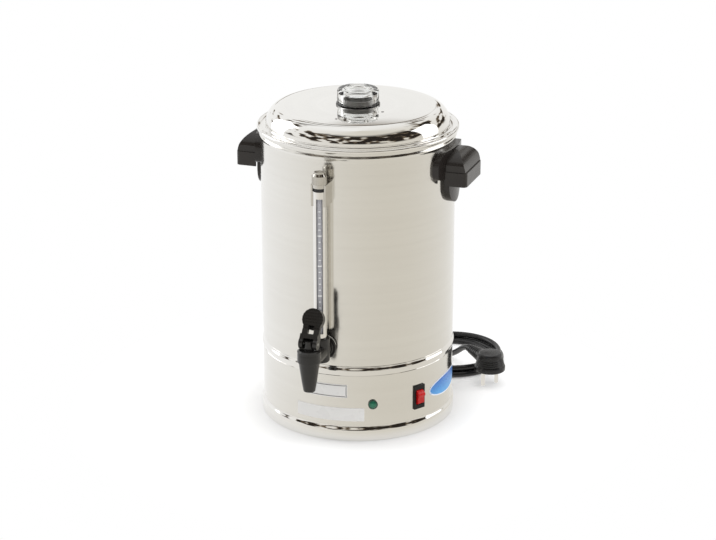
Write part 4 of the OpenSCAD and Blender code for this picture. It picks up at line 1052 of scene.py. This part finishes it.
@dataclass
class PlainLabels(Assembly):
    """Thin plain labels on the skirt, kept without words."""

    face: float = 111.0
    thick: float = 0.25
    sunk: float = 0.04
    margin: float = 0.9
    oval_ring: float = 1.7
    oval_rings: int = 5
    longest_edge: float = 5.0

    def raised(self, shape: Shape) -> None:
        """Gives a flat label its thickness, from just off the steel.

        Args:
            shape: The label, flat in the plane y = 0.
        """
        made = bmesh.ops.extrude_face_region(shape.bm, geom=shape.bm.faces[:])
        verts = [item for item in made["geom"] if isinstance(item, bmesh.types.BMVert)]
        bmesh.ops.translate(shape.bm, vec=(0.0, self.thick - self.sunk, 0.0), verts=verts)
        shape.move(Matrix.Translation((0.0, -self.thick, 0.0)))
        bmesh.ops.recalc_face_normals(shape.bm, faces=shape.bm.faces[:])

    def hang(self, shape: Shape, angle: float, height: float, node: str, slot: str, trim: str) -> None:
        """Bends a raised label round the skirt and ends it as a piece.

        Args:
            shape: The label: x across, y its thickness outwards and negative, z up.
            angle: Its middle, in degrees from the tap towards +X.
            height: Height of its middle.
            node: The node that it replaces.
            slot: Its finish.
            trim: The finish of its line or rim.
        """
        shape.move(Matrix.Translation((0.0, 0.0, height)))
        for vert in shape.bm.verts:
            turn = vert.co.x / self.face
            radius = self.face - vert.co.y
            vert.co.x, vert.co.y = radius * math.sin(turn), -radius * math.cos(turn)
        shape.move(Matrix.Rotation(math.radians(angle), 4, "Z"))
        self.finishes.dress(shape.finish("urn", [node]), slot, trim)

    def depth(self, face: bmesh.types.BMFace, far_x: float, far_z: float) -> float:
        """Returns how far a face's middle lies inside the edge of a flat label."""
        middle = face.calc_center_median()
        return min(far_x - abs(middle.x), far_z - abs(middle.z))

    def panel(
        self, name: str, node: str, span: tuple[float, float], low: float, high: float, line: float = 0.0
    ) -> None:
        """Builds a rectangular label, with a printed line inside its edge if asked.

        Args:
            name: The piece's name.
            node: The node that it replaces.
            span: First and last angle, in degrees from the tap towards +X.
            low: Lower edge.
            high: Upper edge.
            line: Width of the printed line, or 0.
        """
        shape = Shape(name)
        width = math.radians(span[1] - span[0]) * self.face
        steps = max(12, round((span[1] - span[0]) / 1.5))
        bmesh.ops.create_grid(shape.bm, x_segments=steps, y_segments=4, size=0.5, matrix=UPRIGHT)
        bmesh.ops.scale(shape.bm, vec=(width, 1.0, high - low), verts=shape.bm.verts[:])
        for step in (self.margin, line) if line else ():
            edge = [v for v in shape.bm.verts if v.is_boundary]
            far_x, far_z = max(v.co.x for v in edge), max(v.co.z for v in edge)
            kept = self.margin if step == line else 0.0
            inner = [f for f in shape.bm.faces if self.depth(f, far_x, far_z) > kept]
            bmesh.ops.inset_region(shape.bm, faces=inner, thickness=step, use_boundary=True)
        self.raised(shape)
        for face in shape.bm.faces:
            if line and self.margin < self.depth(face, width / 2, (high - low) / 2) < self.margin + line:
                face.material_index = 1
        self.hang(shape, (span[0] + span[1]) / 2, (low + high) / 2, node, "label_clear", "ink")

    def oval(self, angle: float, middle: float, half: float, height: float, rim: float) -> None:
        """Builds the plain blue oval with its pale rim.

        Args:
            angle: Its middle, in degrees from the tap towards +X.
            middle: Height of its middle.
            half: Half its width.
            height: Its height.
            rim: Width of its rim.
        """
        shape = Shape("oval_sticker")
        bmesh.ops.create_circle(shape.bm, cap_ends=True, radius=1.0, segments=96, matrix=UPRIGHT)
        bmesh.ops.scale(shape.bm, vec=(half, 1.0, height / 2), verts=shape.bm.verts[:])
        for step in (rim, *[self.oval_ring] * self.oval_rings):
            inner = [face for face in shape.bm.faces if len(face.verts) > 4]
            bmesh.ops.inset_region(shape.bm, faces=inner, thickness=step, use_boundary=True)
        for cuts in (0, 2, 2):
            long = [edge for edge in shape.bm.edges if edge.calc_length() > self.longest_edge]
            if cuts:
                bmesh.ops.subdivide_edges(shape.bm, edges=long, cuts=cuts, use_grid_fill=False)
            bmesh.ops.triangulate(shape.bm, faces=[face for face in shape.bm.faces if len(face.verts) > 4])
        self.raised(shape)
        for face in shape.bm.faces:
            at = face.calc_center_median()
            share = max(0.01, math.hypot(at.x / half, 2 * at.z / height))
            slope = math.hypot(at.x / half**2, 4 * at.z / height**2) / share
            if (1 - share) / slope < rim:
                face.material_index = 1
        self.hang(shape, angle, middle, "side_label", "label_blue", "pale_rim")

    def build(self) -> None:
        """Builds the three labels."""
        self.panel("outlined_label", "front_label", span=(-13.0, 13.0), low=52.5, high=68.5, line=0.9)
        self.panel("film_label", "lower_label", span=(-19.0, 23.0), low=24.0, high=40.0)
        self.oval(angle=88.0, middle=45.3, half=41.0, height=24.0, rim=1.4)


@dataclass
class MainsLead(Assembly):
    """The cord from the strain relief, its wound coil, its tail and the two-pin plug."""

    thick: float = 7.0
    length: float = 1.6
    exit_y: float = 137.0
    exit_z: float = 25.0
    centre: tuple[float, float] = (63.0, 170.0)
    turned: float = 1398.65
    turn_step: float = 6.0
    coil_start: float = 183.65
    coil_r: float = 62.83
    coil_z: float = 10.8
    radius_steps: Sequence[Sequence[float]] = (
        (0.07, 0, 90), (-7.5, 320, 360), (-7.5, 680, 720), (3.8, 1040, 1090), (7.7, 1090, 1250)
    )
    z_steps: Sequence[Sequence[float]] = ((-7.2, 0, 90), (7.1, 950, 1050))
    plug: tuple[float, float] = (132.0, 106.0)
    plug_turn: float = 138.0
    pins: float = 19.0
    pin_apart: float = 19.0

    def lead(self) -> list[tuple[float, float, float]]:
        """Returns the route from inside the skirt to the coil, in millimetres."""
        y, z = self.exit_y, self.exit_z
        return [
            (0.0, 118.0, z), (0.0, 127.0, z), (0.0, y, z), (0.0, y + 5, z - 0.6), (0.0, y + 11, z - 2.8),
            (0.0, y + 17, z - 6.4), (0.0, y + 23, 14.4), (0.3, y + 29, 10.8)
        ]

    def tail(self) -> list[tuple[float, float, float]]:
        """Returns the route from the coil over its inner turns to the plug, in millimetres."""
        return [
            (21, 128, 10.7), (16, 135, 10.7), (14, 142, 10.8), (14, 150, 10.9), (17, 158, 10.9),
            (22, 165, 10.7), (29, 171, 8.6), (37, 175, 5.7), (45, 176.5, 4.1), (53, 175, 3.8),
            (60, 171, 5.2), (66, 166, 8.2), (72, 160.5, 12.8), (78, 155, 18.2), (84, 149.2, 24),
            (90, 143.8, 28.3), (95.2, 139.1, 30), (102.3, 132.8, 30)
        ]

    def stepped(self, value: float, steps: Sequence[Sequence[float]], at: float) -> float:
        """Returns a value after its smooth steps up to a place.

        Args:
            value: Its first value.
            steps: The rise, start and end of each step, in degrees turned.
            at: The place, in degrees turned.
        """
        return value + sum(rise * smooth_step(at, start, end) for rise, start, end in steps)

    def coil(self) -> list[tuple[float, float, float]]:
        """Returns the wound turns, clockwise from the lead to the tail, in millimetres."""
        points = []
        count = round(self.turned / self.turn_step)
        for i in range(1, count):
            s = self.turned * i / count
            radius = self.stepped(self.coil_r, self.radius_steps, s)
            z = self.stepped(self.coil_z, self.z_steps, s)
            turn = self.coil_start - s
            x, y = arc(*self.centre, radius, turn, turn, 1)[0]
            points.append((x, y, z))
        return points

    def smooth(self, points: list[tuple[float, float, float]], cuts: int) -> list[Vector]:
        """Fills in a route with points on a smooth curve through its own.

        Args:
            points: The route.
            cuts: Steps between two points.

        Returns:
            The filled route.
        """
        line = [Vector(p) for p in points]
        made = []
        for i in range(len(line) - 1):
            a, b, c, d = line[max(i - 1, 0)], line[i], line[i + 1], line[min(i + 2, len(line) - 1)]
            for k in range(cuts):
                t = k / cuts
                square, cube = 2 * a - 5 * b + 4 * c - d, 3 * b - a - 3 * c + d
                made.append(0.5 * ((2 * b) + (c - a) * t + square * t**2 + cube * t**3))
        return [*made, line[-1]]

    def cord(self, plug_pieces: Sequence[Any]) -> None:
        """Args:
            plug_pieces: The pieces at its far end; not used.
        """
        route = self.smooth(self.lead() + self.coil() + self.tail(), 2)
        curve = bpy.data.curves.new("mains_cord", "CURVE")
        curve.dimensions = "3D"
        curve.bevel_depth = 1.0  # Times each point's own radius, which also gives the curve a true box.
        curve.bevel_resolution = 5
        curve.use_fill_caps = True
        spline = curve.splines.new("POLY")
        spline.points.add(len(route) - 1)
        for point, place in zip(spline.points, route):
            point.co = (*(place * MM), 1.0)
            point.radius = self.thick / 2 * MM
        spline.use_smooth = True
        piece = add_object("mains_cord", curve)
        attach(piece, "urn")
        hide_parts("cord_lead", "cord_coil", "cord_tail")
        self.finishes.dress(piece, "cord_black")
        LOG.info("mains_cord: %d points", len(route))

    def plug_end(self) -> list[bpy.types.Object]:
        """Builds the plug's body with its grip rings and its ribbed boot, and its pins.

        Returns:
            The pieces.
        """
        turn = Matrix.Rotation(math.radians(self.plug_turn), 4, "Z")
        place = Matrix.Translation((*self.plug, 0.0)) @ turn
        shape = Shape("plug_moulding")
        low = self.pins
        body = [(0.0, low)] + arc(17.5, low + 1.0, 1.0, -90, 0, 4) + arc(17.5, low + 5.0, 1.0, 0, 90, 4)
        body += [(17.2, low + 6.1)]
        body += rings(low + 7.0, 2.4, 4, 17.4, 0.55, [(-0.7, 0.0), (0.0, 0.6), (-0.1, 1.4), (-0.9, 2.0)])
        body += [(15.0, low + 17.4), (14.4, low + 20.0)] + arc(12.2, low + 20.0, 2.0, 0, 90, 5)
        body += [(0.0, low + 22.0)]
        shape.spin(body, steps=64, place=place)
        side = Matrix.Rotation(math.radians(90), 4, "Y")
        boot = [(0.0, 0.0), (9.4, 0.0), (8.3, 10.0)]
        boot += rings(12.0, 4.2, 6, 8.2, 0.5, [(0.0, 0.0), (0.0, 2.3), (-1.2, 2.8), (-1.3, 3.8)])
        boot += [(4.8, 38.0), (4.7, 41.0), (3.6, 41.4), (0.0, 41.4)]
        shape.spin(boot, steps=40, place=place @ Matrix.Translation((8.0, 0.0, low + 11.0)) @ side)
        plug = shape.finish("urn", ["plug_body"], crease=40.0)
        self.finishes.dress(plug, "cord_black")
        pins = Shape("plug_prongs")
        pin = [(0.0, 0.0)] + arc(1.4, 1.0, 1.0, -90, 0, 5) + [(2.4, low + 3.0), (0.0, low + 3.0)]
        for y in (-self.pin_apart / 2, self.pin_apart / 2):
            pins.spin(pin, steps=32, place=place @ Matrix.Translation((0.0, y, 0.0)))
        prongs = pins.finish("urn", ["plug_pins"])
        self.finishes.dress(prongs, "bright_steel")
        return [plug, prongs]

    def relief(self) -> None:
        """Builds the ribbed strain relief at the back of the skirt."""
        shape = Shape("relief_moulding")
        back = Matrix.Translation((0.0, 0.0, self.exit_z)) @ Matrix.Rotation(math.radians(-90), 4, "X")
        profile = [(3.6, 104.0), (8.0, 104.0), (8.0, 108.0), (5.9, 108.2), (5.9, 111.1), (7.4, 111.4)]
        profile += arc(6.9, 113.3, 0.7, 0, 90, 4) + [(6.0, 114.2)]
        profile += rings(115.4, 4.0, 5, 5.9, 0.28, [(0.0, 0.0), (0.0, 2.2), (-0.9, 2.7), (-0.95, 3.6)])
        profile += [(4.4, 135.6), (4.3, 136.8), (3.6, 137.0)]
        shape.spin(profile, steps=40, place=back)
        self.finishes.dress(shape.finish("urn", ["cord_relief"]), "black_rubber")


# ---- stage, light and camera ----


@dataclass
class Studio:
    """A pale floor, a white surround, soft lamps and the camera."""

    aim: tuple[float, float, float] = (0.0, 0.0, 0.1669)
    lit: tuple[float, float, float] = (0.0, 0.0, 0.18)
    distance: float = 2.486
    azimuth: float = 19.3
    elevation: float = 19.73
    lens: float = 107.5
    floor_size: float = 3000.0
    floor_lift: float = 0.22
    diffuse: float = 0.80
    room: Colour = (0.745, 0.71, 0.635)
    room_side: float = 55.0

    def camera(self) -> None:
        """Sets up the camera."""
        a, e = math.radians(self.azimuth), math.radians(self.elevation)
        back = Vector((math.sin(a) * math.cos(e), -math.cos(a) * math.cos(e), math.sin(e)))
        camera = add_object("camera", bpy.data.cameras.new("camera"))
        camera.data.sensor_width = 36.0
        camera.data.lens = self.lens
        camera.location = Vector(self.aim) + back * self.distance
        camera.rotation_mode = "QUATERNION"
        camera.rotation_quaternion = (-back).to_track_quat("-Z", "Y")
        bpy.context.scene.camera = camera

    def seen(self, bench: NodeBench) -> Any:
        """Returns 1 for rays that see the background: camera, glossy and transmission rays."""
        path = bench.add("ShaderNodeLightPath").outputs
        both = bench.maths("MAXIMUM", path["Is Camera Ray"], path["Is Glossy Ray"])
        return bench.maths("MAXIMUM", both, path["Is Transmission Ray"])

    def front(self, bench: NodeBench, where: Any) -> Any:
        """Returns 1 towards the room's dimmer side, 0 away from it.

        Args:
            bench: The bench of a material or the world.
            where: A place or direction.
        """
        level = bench.vector("NORMALIZE", bench.vector("MULTIPLY", where, LEVEL))
        turn = math.radians(self.room_side)
        toward = bench.vector("DOT_PRODUCT", level, (math.sin(turn), -math.cos(turn), 0.0))
        return bench.ramp(toward, -1.0, 1.0)

    def floor(self) -> None:
        """Builds the pale floor, which fades into the white surround and keeps the shadow."""
        shape = Shape("stage_floor")
        bmesh.ops.create_grid(shape.bm, x_segments=8, y_segments=8, size=self.floor_size)
        floor = add_object("stage_floor", shape.mesh())
        bench, shader, where = blank("stage_floor")
        bench.fill(shader, {"Base Color": (0.96, 0.96, 0.96), "Roughness": 0.8, "Specular IOR Level": 0.1})
        away = bench.vector("LENGTH", where)
        seen = self.seen(bench)
        mirrored = bench.add("ShaderNodeLightPath").outputs["Is Glossy Ray"]
        near_base = bench.maths("MULTIPLY", bench.ramp(away, 0.112, 0.135), mirrored)
        fade = bench.maths("MULTIPLY", bench.ramp(away, 0.15, 0.34), seen)
        tint = bench.blend(bench.maths("MULTIPLY", mirrored, self.front(bench, where)), WHITE, self.room)
        # The added glow is left out next to the base and grows outwards, so the darker ring round the base is
        # painted shade.
        lift = bench.maths("MULTIPLY", bench.ramp(away, 0.114, 0.16, 0.0, self.floor_lift), seen)
        white, lift = (
            bench.add("ShaderNodeEmission", {"Color": colour, "Strength": strength}).outputs[0]
            for colour, strength in ((tint, 1.0), (WHITE, lift))
        )
        near = bench.add("ShaderNodeAddShader", {0: shader.outputs[0], 1: lift}).outputs[0]
        keys = {0: bench.maths("MAXIMUM", fade, near_base), 1: near, 2: white}
        mix = bench.add("ShaderNodeMixShader", keys).outputs[0]
        bench.fill(bench.tree.nodes["Material Output"], {"Surface": mix})
        floor.data.materials.append(bench.owner)

    def surround(self) -> None:
        """Makes the surround: white, with a dim band of room near the horizon for reflections."""
        world = bpy.data.worlds.new("surround")
        world.use_nodes = True
        bpy.context.scene.world = world
        bench = NodeBench(world.node_tree)
        world.node_tree.nodes.clear()
        where = bench.add("ShaderNodeTexCoord").outputs["Generated"]
        height = bench.height(where)
        front = self.front(bench, where)
        blots = bench.noise(bench.vector("MULTIPLY", where, (1.0, 1.0, 1.3)), 4.2, 1.6, 0.45)
        blots = bench.maths("ADD", blots, bench.maths("MULTIPLY", front, 0.18))
        shade = bench.blend(bench.ramp(blots, 0.59, 0.66), (0.20, 0.155, 0.105), (0.025, 0.02, 0.016))
        over, under = bench.ramp(height, 0.03, 0.12), bench.ramp(height, 0.72, 0.86, 1.0, 0.0)
        band = bench.maths("MULTIPLY", over, under)
        dark = bench.maths("MULTIPLY", bench.ramp(blots, 0.545, 0.60), band)
        mirror = bench.blend(dark, bench.blend(front, (1.0, 1.0, 0.99), self.room), shade)
        glossy = bench.add("ShaderNodeLightPath").outputs["Is Glossy Ray"]
        seen = bench.blend(glossy, WHITE, mirror)
        colour = bench.blend(self.seen(bench), (self.diffuse, self.diffuse, self.diffuse), seen)
        back = bench.add("ShaderNodeBackground", {"Color": colour, "Strength": 1.0}).outputs[0]
        bench.add("ShaderNodeOutputWorld", {"Surface": back})

    def lamp(
        self, name: str, place: Sequence[float], size: tuple[float, float], power: float,
        mirrored: bool = True
    ) -> None:
        """Adds one soft rectangular lamp that faces the urn.

        Args:
            name: The lamp's name.
            place: Where it stands, in metres.
            size: Its width and height, in metres.
            power: Its power, in watts.
            mirrored: Whether polished steel shows it.
        """
        data = bpy.data.lights.new(name, "AREA")
        data.shape = "RECTANGLE"
        data.size, data.size_y = size
        data.energy = power
        lamp = add_object(name, data)
        lamp.location = place
        lamp.rotation_mode = "QUATERNION"
        lamp.rotation_quaternion = (Vector(self.lit) - Vector(place)).to_track_quat("-Z", "Y")
        lamp.visible_glossy = mirrored

    def lamps(self) -> None:
        """Adds the overhead lamp and the two side lamps."""
        self.lamp("overhead_lamp", (0.1, -0.35, 1.7), (1.5, 1.5), 9.0, mirrored=False)
        self.lamp("left_lamp", (-1.35, 0.15, 0.75), (0.8, 1.3), 4.5)
        self.lamp("right_lamp", (1.25, 0.65, 0.75), (0.8, 1.3), 4.5)


def main() -> None:
    """Builds the camera and the lead, then the urn from its shells to its labels."""
    logging.basicConfig(level=logging.INFO, format="%(name)s %(message)s")
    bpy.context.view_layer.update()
    bpy.context.scene.view_settings.view_transform = "Standard"
    finishes = Finishes()
    studio = Studio()
    studio.camera()
    lead = MainsLead(finishes)
    lead.cord(lead.plug_end())
    lead.relief()
    shells, lid = SteelShells(finishes), DomedLid(finishes)
    tap, gauge = SelfClosingTap(finishes), SightGauge(finishes)
    handles = [SideHandle(finishes, side) for side in ("left", "right")]
    for build in (
        shells.tank, shells.skirt, lid.plate, lid.vents, lid.knob, lid.collar, handles[0].build,
        handles[1].build, tap.shell, tap.top_works, gauge.glass, gauge.graduations, gauge.guard,
        Controls(finishes).build, PlainLabels(finishes).build, finishes.dress_packed_nodes
    ):
        build()
    studio.floor()
    studio.surround()
    studio.lamps()


if __name__ == "__main__":
    main()
